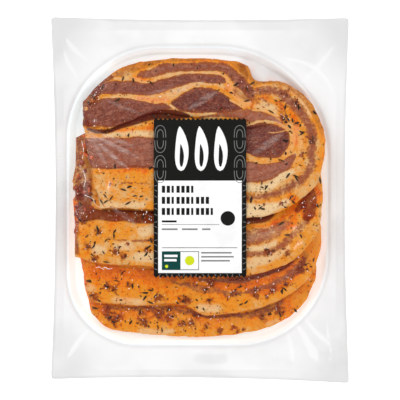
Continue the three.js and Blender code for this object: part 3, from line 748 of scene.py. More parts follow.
# the slit's point for each station of the rim, level with it, and the way from there to the rim
def foldBeside(shape, rim):
    path, _ = curveThrough(shape["slit"], slicing["slitSteps"])
    opening = np.where(np.arange(len(rim)) < len(rim) / 2, shape["rim"][0][0], shape["rim"][-1][0])
    along = clip01((rim[:, 0] - opening) / (shape["slit"][-1][0] - opening))
    fold = np.stack([np.interp(along, np.linspace(0, 1, len(path)), path[:, n]) for n in (0, 1)], 1)
    outwards = rim - fold
    outwards /= np.linalg.norm(outwards, axis=1, keepdims=True)
    return fold + outwards * slicing["slitBack"], outwards


# a slice: the strip between slit and rim carried along the rim, with the painted tissue on it
def makeSlice(shape, index):
    rim, length = curveThrough(shape["rim"], slicing["stations"])
    fold, outwards = foldBeside(shape, rim)
    top, under = crowded(slicing["topSteps"]), crowded(slicing["underSteps"])[::-1]
    v = np.concatenate([[0], top, [1], under])
    w = np.concatenate([[0], fullness(top), [0], -fullness(under)])
    x = fold[:, None, 0] + (rim - fold)[:, None, 0] * v
    y = fold[:, None, 1] + (rim - fold)[:, None, 1] * v
    # the ends are thinner and torn, and the rim is nudged outwards by small lumps
    s = np.linspace(0, 1, slicing["stations"])
    fromEnd = clip01(np.minimum(s, 1 - s) * length / slicing["endRound"])
    endFull = blend(slicing["endFull"], 1.0, np.sqrt(fromEnd * (2 - fromEnd)))[:, None]
    tear = slicing["endReach"][index] + 1.5 * lumps(y, np.full_like(y, index * 9.0), 4.2, 41)
    tear = tear + 0.6 * lumps(y, np.full_like(y, index * 5.0), 1.8, 42)
    x = x + tear * (1 - fromEnd)[:, None] * (x < 0)
    nudge = lumpsOf(x, y, *slicing["rimLumps"]) * ease((v - 0.8) / 0.2)
    x = x + nudge * outwards[:, None, 0]
    y = y + nudge * outwards[:, None, 1]

    tissue, finish = tissueAt(shape, x, y, v[None, :])
    lean, juice, clump = tissue[..., 0], tissue[..., 3], finish[..., 1]
    relief = lumpsOf(x, y, *slicing["topLumps"]) - slicing["leanSinks"] * lean
    relief = relief + lumpsOf(x, y, *slicing["dryLumps"]) * (1 - juice)
    relief = relief + clump * (slicing["clumpHeight"] + lumpsOf(x, y, *slicing["clumpLumps"]))
    onTop = ease(w * 1.6 - 0.35)
    z = undersideAt(index, y) + slicing["thick"] / 2 * (1 + w * endFull) + relief * onTop * endFull
    points = np.stack([x, y, z], -1)
    rows, columns = x.shape
    count, ring = rows * columns, np.arange(columns)
    faces = gridFaces(rows, columns, closed=True).tolist()
    faces += fanFaces(count, ring, flip=True) + fanFaces(count + 1, (rows - 1) * columns + ring)
    allPoints = np.concatenate([points.reshape(-1, 3), [points[0].mean(0), points[-1].mean(0)]])
    uv = np.stack(np.broadcast_arrays(s[:, None] * length / slicing["uvLength"], v[None, :]), -1)
    layers = {}
    for name, values in (("uv", uv), ("tissue", tissue), ("finish", finish)):
        values = values.reshape(count, -1)
        layers[name] = np.concatenate([values, values[[0, -1]]])
    piece = makePiece(shape["name"] + "_meat", allPoints, faces, layers.pop("uv"), layers)
    topColumns = slice(1, 1 + slicing["topSteps"])
    return piece, (points[:, topColumns], tissue[:, topColumns])


meat = {
    "paleFat": tone(242, 212, 166), "creamFat": tone(226, 174, 110), "goldFat": tone(234, 148, 38),
    "orangeFat": tone(240, 128, 2), "redFat": tone(222, 82, 8), "brownFat": tone(150, 74, 20),
    "rimGold": tone(206, 128, 36), "rust": tone(180, 78, 18), "line": tone(180, 100, 48),
    "paleLean": tone(168, 104, 80), "brownLean": tone(130, 66, 50), "darkLean": tone(92, 34, 30),
    # sheen: the pale colour of painted sheen and painted glints
    "glazedLean": tone(158, 80, 36), "seep": tone(186, 84, 30), "sheen": tone(184, 132, 112),
    "juice": tone(110, 16, 4), "spice": tone(124, 46, 18), "halo": tone(150, 62, 14),
    # slit: the dark red of the painted shade in the slit and under the edge of the slice above
    "slit": tone(88, 22, 10),
    "bump": (0.0009, 0.9), "coatRough": 0.1, "coatIor": 1.38, "ior": 1.25,
    "scatterShare": 0.06, "scatterRadius": (1.0, 0.35, 0.15), "scatterScale": 0.002,
}


def meatMaterial(name):
    paint = Paint(name)
    lean, dark, warm, juice = paint.values("tissue")
    cream, clump, shade, core = paint.values("finish")
    uv = paint.make("ShaderNodeTexCoord", output="UV")
    fibres = paint.noise(9.0, 6.0, 0.62, at=paint.stretched((0.5, 5.0, 1.0), at=uv), distortion=0.5)
    patches = paint.noise(130.0, 6.0, 0.62)
    mottles = paint.noise(310.0, 5.0, 0.62, distortion=0.4)
    flecks = paint.noise(620.0, 4.0, 0.6, distortion=0.3)
    grain = paint.noise(1150.0, 2.0, 0.6)
    patchy, mottled, flecked = patches - 0.5, mottles - 0.5, flecks - 0.5

    # the fat: from cream by gold and orange to red as it warms. Marinade gathers in rust-coloured
    # blotches, more of them where the fat is orange. Along the rim at the top of the pack it turns gold and
    # brown, marinade colour with painted shade where the rim curves down
    cloudy = patchy * 1.5 + mottled * 1.3 + flecked * 0.4
    warmth = warm + cloudy * (1.35 - warm * 0.75) - cream * 0.5
    blotch = (mottles * 0.6 + flecks * 0.4 + clump * 0.2 + warm * 0.02).between(0.57, 0.69)
    rimBrownAndShade = dark - lean * 3.0
    fat = paint.layered(
        meat, "creamFat", ("goldFat", warmth.between(0.0, 0.5)), ("orangeFat", warmth.between(0.5, 1.0)),
        ("redFat", warmth.between(0.72, 1.32)), ("paleFat", cream * 0.75), ("rust", blotch * 0.72),
        ("rimGold", rimBrownAndShade.between(0.05, 0.4) * 0.75),
        ("brownFat", (rimBrownAndShade + mottled * 2.2).between(0.25, 0.85) * 0.6))
    # the lean: fibres from pale to dark, a painted pale sheen, and glazed with marinade round its borders
    depth = dark + (fibres - 0.5) * 2.8 + mottled * 2.4 + patchy * 2.0
    veil = (fibres * 0.6 + flecks * 0.4 + patchy * 0.5).between(0.48, 0.68)
    glazed = (1 - core + mottled * 1.4 + patchy * 1.0).between(0.35, 1.0)
    seep = (patches + mottled * 1.1 + warm * 0.1 - dark * 0.08).between(0.52, 0.84)
    muscle = paint.layered(
        meat, "paleLean", ("brownLean", depth.between(-0.15, 0.65)), ("darkLean", depth.between(0.45, 1.1)),
        ("sheen", veil * 0.5), ("glazedLean", glazed * 0.65), ("seep", seep * 0.5))
    edge = (lean + patchy * 0.7 + mottled * 1.1 + flecked * 0.6).between(0.24, 0.74)
    border = 1 - (edge * 2 - 1).absolute()
    # what lies on both: halos and stains of spice, juice, pits, painted glints as pale specks, and painted
    # shade in the slit and under the edge of the slice above
    halo = (clump ** 0.22 * 0.9 + mottled * 1.5 + patchy * 1.5).between(0.45, 1.0)
    stain = (clump + mottled * 1.3 + flecked * 0.8).between(0.32, 0.95)
    wet = (juice + (patchy * 0.9 + mottled * 0.9) * juice).between(0.05, 0.95)
    pit = (grain + flecked * 0.5).between(0.56, 0.72)
    # painted glints: pale specks where the grain is low, fewer where it is wet
    paintedGlint = (grain + (fibres - 0.5) * 0.3).between(0.42, 0.28)
    paintedShade = shade.between(0.1, 0.9)
    colour = paint.layered(
        meat, paint.mixed(fat, muscle, edge), ("line", border * 0.35), ("halo", halo * (warm - 0.3) * 1.5),
        ("spice", stain * 0.65), ("juice", wet * 0.9), ("spice", pit * (edge * 0.25 + 0.15)),
        ("sheen", paintedGlint * (0.5 - wet * 0.35)), ("slit", paintedShade * 0.96))

    height = fibres * 0.4 * edge + patches * 0.6 + mottles * 0.8 + flecks * 0.5 + grain * 0.25
    return paint.finish(paint.principled({
        "Base Color": colour, "Roughness": 0.44 - wet * 0.25 - (1 - flecks) * 0.16 + paintedShade * 0.3,
        "Normal": paint.bump(height, *meat["bump"]), "Coat Weight": (0.15 + wet * 0.25) * (1 - paintedShade),
        "Coat Roughness": meat["coatRough"], "Coat IOR": meat["coatIor"], "IOR": meat["ior"],
        "Subsurface Weight": meat["scatterShare"], "Subsurface Radius": meat["scatterRadius"],
        "Subsurface Scale": meat["scatterScale"]}))


print("view, light and floor")
setUpCamera()
setUpLight()
makeFloor()

sliceSurfaces = []
meatSkin = meatMaterial("marinated_pork")
for index, shape in enumerate(slices):
    piece, surface = makeSlice(shape, index)
    dress(piece, meatSkin, "meat_upper" if index < 2 else "meat_lower", shape["name"])
    sliceSurfaces.append(surface)
    print("laid", shape["name"])


# a raster of half millimetres over the pack, for what lies uppermost
raster = {"cell": 0.5, "halfX": 104.0, "halfY": 127.0}
rasterColumns = int(2 * raster["halfX"] / raster["cell"]) + 1
rasterRows = int(2 * raster["halfY"] / raster["cell"]) + 1
cellX, cellY = np.meshgrid(np.linspace(-raster["halfX"], raster["halfX"], rasterColumns),
                           np.linspace(-raster["halfY"], raster["halfY"], rasterRows))


def rasterPlace(x, y):
    return (y + raster["halfY"]) / raster["cell"], (x + raster["halfX"]) / raster["cell"]


# a raster's value at any place, blended from its four nearest cells
def sampled(grid, x, y):
    justInside = 1.001
    row, column = rasterPlace(x, y)
    row = np.clip(row, 0, rasterRows - justInside)
    column = np.clip(column, 0, rasterColumns - justInside)
    i, j = row.astype(int), column.astype(int)
    near = blend(grid[i, j], grid[i, j + 1], column - j)
    far = blend(grid[i + 1, j], grid[i + 1, j + 1], column - j)
    return blend(near, far, row - i)


# blurred over the given number of millimetres
def softened(grid, spread):
    for _ in range(max(1, int(2 * (spread / raster["cell"]) ** 2))):
        grid = (np.roll(grid, 1, 0) + 2 * grid + np.roll(grid, -1, 0)) / 4
        grid = (np.roll(grid, 1, 1) + 2 * grid + np.roll(grid, -1, 1)) / 4
    return grid


# the highest value within the given reach
def spreadHighest(grid, reach):
    for _ in range(int(round(reach / raster["cell"]))):
        grid = np.maximum(np.maximum(np.roll(grid, 1, 0), np.roll(grid, -1, 0)), grid)
        grid = np.maximum(np.maximum(np.roll(grid, 1, 1), np.roll(grid, -1, 1)), grid)
    return grid


# height and tissue of the slices' tops in each cell: four samples from station to station, highest last
def layUppermost(surfaces):
    places, values = [], []
    for points, tissue in surfaces:
        for share in (0.0, 0.25, 0.5, 0.75):
            places.append(blend(points[:-1], points[1:], share).reshape(-1, 3))
            values.append(blend(tissue[:-1], tissue[1:], share).reshape(-1, 4))
    places, values = np.concatenate(places), np.concatenate(values)
    order = np.argsort(places[:, 2])
    places, values = places[order], values[order]
    row, column = (np.rint(part).astype(int) for part in rasterPlace(places[:, 0], places[:, 1]))
    height = np.full((rasterRows, rasterColumns), -1.0)
    tissue = np.zeros((rasterRows, rasterColumns, 4))
    height[row, column] = places[:, 2]
    tissue[row, column] = values
    return np.where(height < 0, spreadHighest(height, raster["cell"]), height), tissue


meatHeight, meatTissue = layUppermost(sliceSurfaces)
meatMask = (meatHeight > 0).astype(float)
surfaceHeight = spreadHighest(np.where(meatMask > 0, meatHeight, pack["thick"]), raster["cell"])


# the white web: rings of points from the middle outwards; widths and depths in millimetres
web = {"side": 118, "floorRings": 8, "wallRings": 12, "flangeRings": 60, "underRings": 18,
       "wallWidth": 5.4, "creaseDepth": 0.2, "creaseWidth": 1.1, "middle": (-1.75, 2.75)}

# ridges pressed into flange and film by the packing: height, then a stroke of (x, y, half width)
ridges = [
    (0.5, [(66, -85, 0.6), (71, -93, 1.6), (77, -104, 2.6), (79, -108, 1.2)]),
    (0.3, [(72, -82, 0.6), (80, -91, 1.4), (88, -98, 0.8)]),
    (0.25, [(60, -92, 0.6), (62, -101, 1.4), (63, -109, 0.8)]),
    (0.25, [(60, 96, 0.6), (74, 92, 1.0), (86, 82, 1.2), (90, 74, 0.6)]),
    (0.22, [(70, 80, 0.5), (82, 93, 1.3), (90, 103, 0.8)]),
    (0.22, [(-78, 96, 0.8), (-86, 103, 1.8), (-90, 108, 1.0)]),
    (0.22, [(-84, 84, 0.6), (-90, 94, 1.3), (-92, 100, 0.8)]),
    (0.25, [(-76, -88, 0.6), (-84, -98, 1.6), (-89, -106, 1.0)]),
]
# where the web is tinted, mostly with painted light and shade: starts and widths in millimetres, counted
# upwards, downwards or to the left, and strengths; darker patches are strokes of the flange with a strength
webTouch = {
    "top": (60, 15), "notch": (24, 10), "bottom": (45, 15), "left": (55, 20), "farLeft": (70, 12),
    "ring": (-0.8, 2.0), "blushBlur": 1.6, "glowBlur": 4.0, "seal": 0.3, "rimWidth": 3.2, "crease": 1.3,
    "corners": {"top": 1.1, "bottomRight": 0.9, "bottomLeft": 0.5}, "streakHeight": 0.3,
    "glow": 0.55, "meatGlow": 0.75, "topLoss": 0.3, "leftGlow": 0.95, "bottomLoss": 0.6,
    "darkPatches": [(0.35, [(-1, -108, 3.4), (15, -108, 3.4)])], "darkPatchSoft": 3.0,
}


def ridgesAt(x, y):
    rise = np.zeros_like(x)
    for height, stroke in ridges:
        rise = np.maximum(rise, height * ease(insideStroke(x, y, stroke) / 1.6 + 0.6))
    return rise


# a pressed crease along the cavity: exp(-((depth + 1.1) / width)^2)
def creaseAt(depth, width):
    return np.exp(-((depth + web["creaseWidth"]) / width) ** 2)


# the web's upper face: floor, a wall that rises in an eased curve, the crease, then the puffed flange
def webHeight(x, y):
    depth = cavityDepth(x, y)
    puffed = ease(sealDepth(x, y) / 5) * ease(-depth / 4)
    flange = flangeAt(x, y) + puffed * (0.35 * lumps(x, y, 17, 61) + 0.2)
    flange = flange - web["creaseDepth"] * creaseAt(depth, web["creaseWidth"])
    return blend(pack["thick"], flange, ease(1 - depth / web["wallWidth"]))


# points round the pack's edge, from one corner to the next
def packEdge(side):
    t = np.linspace(-1, 1, side, endpoint=False)
    one = np.ones_like(t)
    return packPoint(np.concatenate([t, one, -t, -one]), np.concatenate([-one, t, one, -t]))


# the share of the way from the middle to each edge point where the cavity is the given depth inside
def shareAtDepth(edgeX, edgeY, depth):
    halvings = 30
    low, high = np.zeros_like(edgeX), np.ones_like(edgeX)
    for _ in range(halvings):
        half = (low + high) / 2
        x, y = blend(web["middle"][0], edgeX, half), blend(web["middle"][1], edgeY, half)
        inside = cavityDepth(x, y) > depth
        low, high = np.where(inside, half, low), np.where(inside, high, half)
    return low


# rings from the middle to the edge: floor, wall and flange
def webRings(edgeX, edgeY):
    floorShare = shareAtDepth(edgeX, edgeY, web["wallWidth"])
    wallShare = shareAtDepth(edgeX, edgeY, 0.0)
    overFloor = np.linspace(0, 1, web["floorRings"], endpoint=False)[1:] ** 0.5
    overWall = np.linspace(0, 1, web["wallRings"], endpoint=False)
    overFlange = np.linspace(0, 1, web["flangeRings"]) ** 1.15
    rings = [floorShare * t for t in overFloor] + [blend(floorShare, wallShare, t) for t in overWall]
    share = np.array(rings + [blend(wallShare, 1.0, t) for t in overFlange])
    return blend(web["middle"][0], edgeX, share), blend(web["middle"][1], edgeY, share)


# what is painted on the web at each point. Touch: pink light from the meat, the seal band's grey with
# painted shade along the edge and in the corners, painted shade in the crease, a painted glow in the ring.
# Marks: painted highlights along the ridges, darker patches, the ring's left side painted brighter
def webTints(x, y):
    depth = cavityDepth(x, y)
    atTop = risen(y, *webTouch["top"]) * (0.2 + 0.7 * risen(x, *webTouch["notch"]))
    atBottom, inRing = risen(-y, *webTouch["bottom"]), risen(depth, *webTouch["ring"])
    blush = ease(sampled(softened(meatMask, webTouch["blushBlur"]), x, y) * 2) * (1 + atTop)
    seal = ease(1 - sealDepth(x, y) / 0.8) * webTouch["seal"]
    # painted shade: darker along the pack's edge and in its corners
    rim = ease(1 - edgeDistance(x, y) / webTouch["rimWidth"])
    corner = ease((np.abs(x) / pack["halfWidth"]) ** 3 * (np.abs(y) / pack["halfLength"]) ** 3 * 1.6)
    shares = webTouch["corners"]
    lowCorner = np.where(x > 0, shares["bottomRight"], shares["bottomLeft"])
    corner = corner * np.where(y > 0, shares["top"], lowCorner)
    sealAndShade = np.maximum(np.maximum(seal, rim), corner)
    # a painted glow in the shaded ring, more of it near the meat and on the left, less at the top
    leftGlow = webTouch["leftGlow"] * risen(-x, *webTouch["left"]) * (1 - webTouch["bottomLoss"] * atBottom)
    meatGlow = webTouch["meatGlow"] * ease(sampled(softened(meatMask, webTouch["glowBlur"]), x, y) * 2)
    glow = inRing * (webTouch["glow"] + meatGlow * (1 - atTop) - webTouch["topLoss"] * atTop + leftGlow)
    # painted highlights along the ridges
    streak = ease(ridgesAt(x, y) / webTouch["streakHeight"])
    darkPatches = covered(x, y, webTouch["darkPatches"], webTouch["darkPatchSoft"])
    # painted light: the ring's left side brighter and cooler
    leftSide = risen(-x, *webTouch["farLeft"]) * inRing
    # crease: painted shade in the pressed crease along the cavity
    return {"touch": np.stack([blush, sealAndShade, creaseAt(depth, webTouch["crease"]), glow], -1),
            "marks": np.stack([streak, darkPatches, leftSide, np.ones_like(x)], -1)}


def makeWeb():
    edgeX, edgeY = packEdge(web["side"])
    x, y = webRings(edgeX, edgeY)
    upper = np.stack([x, y, webHeight(x, y)], -1)
    # the underside follows one thickness below, and outwards by as much where the wall is steep
    inner = web["floorRings"] + web["wallRings"]
    outer = np.linspace(inner + 2, len(upper) - 1, web["underRings"]).astype(int)
    below = upper[np.concatenate([np.arange(inner), outer])]
    steep = ease(1 - np.abs(cavityDepth(below[..., 0], below[..., 1]) / web["wallWidth"] - 0.5) * 2)
    outwards = np.stack([edgeX - web["middle"][0], edgeY - web["middle"][1]], -1)
    outwards /= np.linalg.norm(outwards, axis=1, keepdims=True)
    below[..., :2] += outwards * (steep * pack["thick"])[..., None]
    below[..., 2] -= pack["thick"]
    ringed = np.concatenate([upper, below[::-1]])
    rows, columns = ringed.shape[:2]
    count, ring = rows * columns, np.arange(columns)
    faces = gridFaces(rows, columns, closed=True, flip=True).tolist()
    faces += fanFaces(count, ring) + fanFaces(count + 1, (rows - 1) * columns + ring, flip=True)
    poles = [[*web["middle"], pack["thick"]], [*web["middle"], 0.0]]
    points = np.concatenate([ringed.reshape(-1, 3), poles])
    return makePiece("web_skin", points, faces, tints=webTints(points[:, 0], points[:, 1]))


# ring, leftRing and lit are painted light for the shaded ring; crease painted shade; streak painted
# highlights
webLook = {
    "white": tone(248, 248, 248), "seal": tone(224, 224, 224), "blush": tone(240, 204, 190),
    "crease": tone(220, 220, 221), "ring": tone(238, 244, 250), "leftRing": tone(240, 249, 252),
    "streak": tone(255, 255, 255), "lit": (0.84, 0.98, 1.0, 1), "glow": 0.44,
    "rough": 0.5, "ior": 1.4, "bump": (0.0012, 0.35),
}


def webMaterial():
    paint = Paint("white_web")
    blush, seal, crease, glow = paint.values("touch")
    streak, darkPatches, leftSide, _ = paint.values("marks")
    cloud = paint.noise(28.0, 3.0)
    fine = paint.noise(700.0, 3.0)
    clouded = seal * (0.6 + cloud * 0.8) + cloud.between(0.44, 0.66) * 0.3 + darkPatches
    # ring and leftRing are painted light, streak painted highlights, crease painted shade, blush painted
    # pink light from the meat, and seal also the painted shade along the edge and in the corners
    colour = paint.layered(
        webLook, "white", ("ring", glow.between(0.1, 0.5)), ("leftRing", leftSide), ("seal", clouded),
        ("streak", streak * (0.1 + cloud * 0.8)), ("crease", crease * 0.5), ("blush", blush * 0.3))
    # a painted glow: emission that lifts the shade in the ring
    return paint.finish(paint.principled({
        "Base Color": colour, "Roughness": webLook["rough"] + (fine - 0.5) * 0.1, "IOR": webLook["ior"],
        "Normal": paint.bump(cloud * 0.8 + fine * 0.03, *webLook["bump"]),
        "Emission Color": paint.mixed(grey(0.0), webLook["lit"], glow),
        "Emission Strength": webLook["glow"]}))


dress(makeWeb(), webMaterial(), "web", "base_web")
print("formed the web")


# cells drawn by weight, each moved a little inside its cell
def scatter(weight, count, seed):
    random = np.random.default_rng(seed)
    chosen = random.choice(weight.size, count, replace=False, p=weight.ravel() / weight.sum())
    shift = random.uniform(-0.5, 0.5, (2, count)) * raster["cell"]
    return cellX.ravel()[chosen] + shift[0], cellY.ravel()[chosen] + shift[1], random


spindle = {"tipRadius": 0.12, "sink": 0.25, "bridge": 0.6, "shadeSeed": 5}


# spindles that lie on the ground: radius = sin(pi t)^taper along the length, each ring dropped onto it
def makeSpindles(name, x, y, angle, length, width, height, bend, ground, rings, sides, taper):
    t = np.linspace(0, 1, rings)
    radius = np.sin(np.pi * t) ** taper
    radius[[0, -1]] = spindle["tipRadius"]
    turn = np.arange(sides) * 2 * np.pi / sides
    along = (t - 0.5)[None, :] * length[:, None]
    sideways = bend[:, None] * length[:, None] * (0.25 - (t - 0.5)[None, :] ** 2)
    cosA, sinA = np.cos(angle)[:, None], np.sin(angle)[:, None]
    middleX = x[:, None] + cosA * along - sinA * sideways
    middleY = y[:, None] + sinA * along + cosA * sideways
    # no ring sinks far below the spindle's highest one, so it bridges small hollows
    bed = sampled(ground, middleX, middleY)
    bed = np.maximum(bed, bed.max(1, keepdims=True) - spindle["bridge"])
    across = radius[None, :, None] * np.cos(turn) * width[:, None, None] / 2
    upwards = radius[None, :, None] * (np.sin(turn) + 1 - spindle["sink"] * 2) * height[:, None, None] / 2
    px = middleX[..., None] - sinA[..., None] * across
    py = middleY[..., None] + cosA[..., None] * across
    points = np.stack([px, py, bed[..., None] + upwards], -1).reshape(-1, 3)
    count = len(x)
    i, j, k = np.meshgrid(np.arange(count), np.arange(rings - 1), np.arange(sides), indexing="ij")
    base = i * rings * sides + j * sides
    a, b = base + k, base + (k + 1) % sides
    quads = np.stack([a, a + sides, b + sides, b], -1).reshape(-1, 4)
    starts = (np.arange(count) * rings * sides)[:, None]
    firstCaps = starts + np.arange(sides)
    lastCaps = starts + (rings - 1) * sides + np.arange(sides)[::-1]
    shade = np.repeat(np.random.default_rng(spindle["shadeSeed"]).uniform(0, 1, count), rings * sides)
    faces = quads.tolist() + firstCaps.tolist() + lastCaps.tolist()
    return makePiece(name, points, faces, tints={"shade": greyTint(shade)})


# a skin between two tones, by piece and by grain
def plainSkin(name, first, second, rough, coat=0.3):
    paint = Paint(name)
    grain = paint.noise(1500.0, 2.0)
    share = (paint.value("shade") + (grain - 0.5) * 0.6).between(0.1, 0.9)
    return paint.finish(paint.principled({
        "Base Color": paint.mixed(first, second, share), "Roughness": rough, "Specular IOR Level": 0.3,
        "Coat Weight": coat, "Coat Roughness": 0.15, "Normal": paint.bump(grain, 0.0003, 0.6)}))


# two tones, roughness and coat of each skin
herbSkins = {
    "herb_leaf": (tone(26, 18, 10), tone(78, 54, 28), 0.6, 0.0),
    "pepper_speck": (tone(48, 24, 14), tone(150, 74, 30), 0.45, 0.3),
    "spice_crumb": (tone(84, 32, 10), tone(170, 78, 26), 0.3, 0.5),
    # pale grit: pale specks that also stand in for painted glints on the wet meat
    "pale_grit_and_glints": (tone(196, 140, 96), tone(240, 204, 160), 0.25, 0.6),
    "jelly": (tone(128, 36, 8), tone(206, 88, 30), 0.12, 0.8),
}
# of each piece: skin, count, seed, ranges of length, width, height and bend, then rings, sides and taper
herbs = {
    "herb_leaves": ("herb_leaf", 160, 72, [(2.2, 5.0), (0.8, 1.5), (0.6, 1.0), (-0.5, 0.5)], 7, 6, 0.7),
    "herb_scraps": ("herb_leaf", 300, 73, [(0.9, 2.2), (0.5, 1.1), (0.4, 0.8), (-0.4, 0.4)], 5, 5, 0.7),
    "pepper_specks": ("pepper_speck", 560, 74, [(0.45, 1.1), (0.4, 0.8), (0.3, 0.6), (0, 0.1)], 4, 5, 0.7),
    "spice_crumbs": ("spice_crumb", 200, 75, [(0.9, 2.0), (0.8, 1.6), (0.6, 1.2), (0, 0.1)], 6, 6, 0.5),
    "pale_grit_and_glints": ("pale_grit_and_glints", 520, 76, [(0.3, 0.8), (0.25, 0.5), (0.25, 0.4), (0, 0.1)], 4, 5, 0.7),
    "jelly_lumps": ("jelly", 24, 77, [(2.0, 5.0), (1.5, 3.0), (0.4, 0.9), (-0.3, 0.3)], 9, 9, 0.5),
}
inland = softened(meatMask, 1.0) > 0.93
clumpiness = clumpsAt(cellX, cellY, [clump for shape in slices for clump in shape["clumps"]])


# where each kind lies: leaves and specks on level fat and in the clumps, pale grit that also stands in
# for painted glints where the meat is wet or lean, jelly along the left ends
def herbWeights():
    patchy = softened(np.random.default_rng(71).uniform(0, 1, meatMask.shape), 3.0)
    patchy = clip01((patchy - patchy.mean()) / patchy.std() * 0.5 + 0.6)
    lean, juice = meatTissue[..., 0], meatTissue[..., 3]
    level = inland * (softened(meatHeight, 1.0) - meatHeight < 0.6)
    fatness = clip01(1 - lean) * (1 - 0.6 * juice)
    ground = level * ((0.1 + 0.9 * fatness) * patchy ** 2 + clumpiness * 0.9)
    rightSide = 0.6 + 0.7 * risen(cellX, 20, 30) * risen(cellY, -6, 6)
    leftEnds = risen(-cellX, 72.5, 1.5) * risen(-cellY, -47, 3) * risen(cellY, -16, 4)
    return {
        "herb_leaves": ground * rightSide, "herb_scraps": ground, "pepper_specks": level * (0.3 + fatness),
        "spice_crumbs": level * clumpiness ** 1.5, "pale_grit_and_glints": level * (0.5 + juice * 1.5 + lean),
        "jelly_lumps": leftEnds * inland,
    }


def sprinkleAll():
    skins = {name: plainSkin(name, *look) for name, look in herbSkins.items()}
    weights = herbWeights()
    for name, (skin, count, seed, ranges, rings, sides, taper) in herbs.items():
        x, y, random = scatter(weights[name], count, seed)
        angle = random.uniform(0, np.pi, count)
        sizes = [random.uniform(low, high, count) for low, high in ranges]
        piece = makeSpindles(name, x, y, angle, *sizes, surfaceHeight, rings, sides, taper)
        dress(piece, skins[skin], "meat_upper")


sprinkleAll()
print("sprinkled the herbs")


# the clear film: its gap is what it keeps off the meat, its foot where it meets the flange
film = {"columns": 196, "rows": 236, "thick": 0.1, "gap": 0.25, "foot": 1.6, "passes": 500, "dots": 240,
        "mostShine": 0.007, "shineIor": 1.16, "tint": (1.0, 0.9, 0.86, 1),
        "puffHeight": 0.55, "puffLumps": [(0.35, 21, 81), (0.2, 8, 82)], "reach": 4.0, "blur": 1.5,
        # drops of light: ranges of length and width, then height
        "dotLength": (0.4, 1.6), "dotWidth": (0.28, 0.6), "dotHeight": 0.12}

# places where the film stands off the meat and looks milky: strength, then a stroke of (x, y, half width)
veils = [
    (0.26, [(-77, 47.6, 0.6), (-66, 41, 1.2), (-54, 34.6, 1.2), (-43, 29.4, 0.5)]),
    (0.24, [(-76, 46.0, 0.5), (-67, 37, 1.2), (-57, 28, 1.0), (-49, 21.6, 0.4)]),
    (0.17, [(-75, 44.0, 0.5), (-70, 35, 1.3), (-64, 25, 0.6)]),
    (0.17, [(-72, 47.0, 0.5), (-58, 41, 1.0), (-46, 37, 0.5)]),
    (0.10, [(-60, -5, 0.6), (-54, -9, 1.3), (-47, -13.6, 1.3), (-43, -17, 0.6)]),
    (0.09, [(-81, 22, 0.8), (-78, 15, 2.2), (-77, 6, 1.8), (-78, 0, 0.6)]),
    (0.14, [(47, 56, 0.6), (52, 53.6, 1.4), (56, 50, 0.6)]),
    (0.10, [(-28, 70, 0.6), (-14, 74.6, 1.6), (2, 80, 0.7)]),
    (0.05, [(32, -27, 2.0), (42, -25, 3.4), (54, -20, 3.4), (60, -15, 1.6)]),
    (0.12, [(-7, 62, 0.6), (2, 68, 2.2), (11, 73, 0.6)]),
    (0.12, [(36, 31, 0.6), (46, 38, 2.2), (56, 45, 0.6)]),
    (0.08, [(-50, 66, 0.6), (-34, 71, 1.2), (-18, 78, 0.6)]),
    (0.07, [(-64, 68, 0.6), (-52, 63, 1.6), (-40, 58, 0.6)]),
]
# painted highlights: bright hairlines along the film's folds, as paths of (x, y)
hairlines = [
    [(-78.2, 3.4), (-74.8, 2.0), (-72.0, 0.4), (-71.4, -2.2), (-69.4, -4.2), (-67.6, -5.0)],
    [(-70.6, -46.0), (-68.0, -45.2), (-66.4, -46.6), (-64.2, -45.4), (-62.0, -46.8), (-59.4, -46.2)],
    [(-80.2, 40.0), (-79.0, 34.0), (-79.6, 28.0)],
    [(-79.0, 20.0), (-77.6, 14.0), (-78.6, 9.0)],
]


# the film rests on all that is high and is drawn straight between; outside its foot it lies on the flange
def filmHeight():
    onFlange = cavityDepth(cellX, cellY) < -film["foot"]
    inSeal = sealDepth(cellX, cellY)
    webTop = webHeight(cellX, cellY)
    puff = ease(inSeal / 6) * ease((-cavityDepth(cellX, cellY) - film["foot"]) / 5)
    puffs = puff * (film["puffHeight"] + lumpsOf(cellX, cellY, *film["puffLumps"]))
    puffs = puffs + ridgesAt(cellX, cellY) * ease(inSeal / 3)
    level = webTop + film["gap"] * ease(inSeal / 1.5) * 0.8 + 0.06 + puffs
    wrinkle = 0.12 * lumps(cellX, cellY, 5, 83) + 0.08 * lumps(cellX + cellY, cellX - cellY, 3, 84)
    lowest = spreadHighest(np.where(meatMask > 0, surfaceHeight, webTop), 0.5)
    lowest = lowest + film["gap"] + wrinkle + 0.15
    height = np.where(onFlange, level, softened(spreadHighest(lowest, film["reach"]), film["blur"]))
    for _ in range(film["passes"]):
        mean = sum(np.roll(height, step, axis) for axis in (0, 1) for step in (1, -1)) / 4
        height = np.where(onFlange, level, np.maximum(lowest, mean))
    return height


filmTop = filmHeight()


def makeFilm():
    rows, columns = film["rows"] + 1, film["columns"] + 1
    x, y = packPoint(*np.meshgrid(np.linspace(-1, 1, columns), np.linspace(-1, 1, rows)))
    lower = np.stack([x, y, sampled(filmTop, x, y)], -1).reshape(-1, 3)
    points = np.concatenate([lower + [0, 0, film["thick"]], lower])
    streak = covered(points[:, 0], points[:, 1], veils, 2.0)
    return makePiece("clear_film", points, sheetFaces(rows, columns), tints={"veil": greyTint(streak)})


# clear, with a little gloss everywhere and more of it in the broken streaks of the veils
def filmMaterial():
    paint = Paint("clear_film")
    veil = paint.value("veil")
    fresnel = paint.make("ShaderNodeFresnel", None, {"IOR": film["shineIor"]})
    broken = paint.noise(520.0, 3.0, 0.6, at=paint.stretched((0.25, 1.6, 1.0), turn=0.55))
    clear = paint.make("ShaderNodeBsdfTransparent", None, {"Color": grey(1.0)})
    gloss = paint.principled({
        "Base Color": film["tint"], "Metallic": 1.0, "Roughness": 0.12 + veil.between(0.0, 0.1) * 0.7})
    factor = fresnel.atMost(film["mostShine"]) + veil * broken.between(0.3, 0.7)
    return paint.finish(paint.make("ShaderNodeMixShader", None, {0: factor, 1: clear, 2: gloss}))
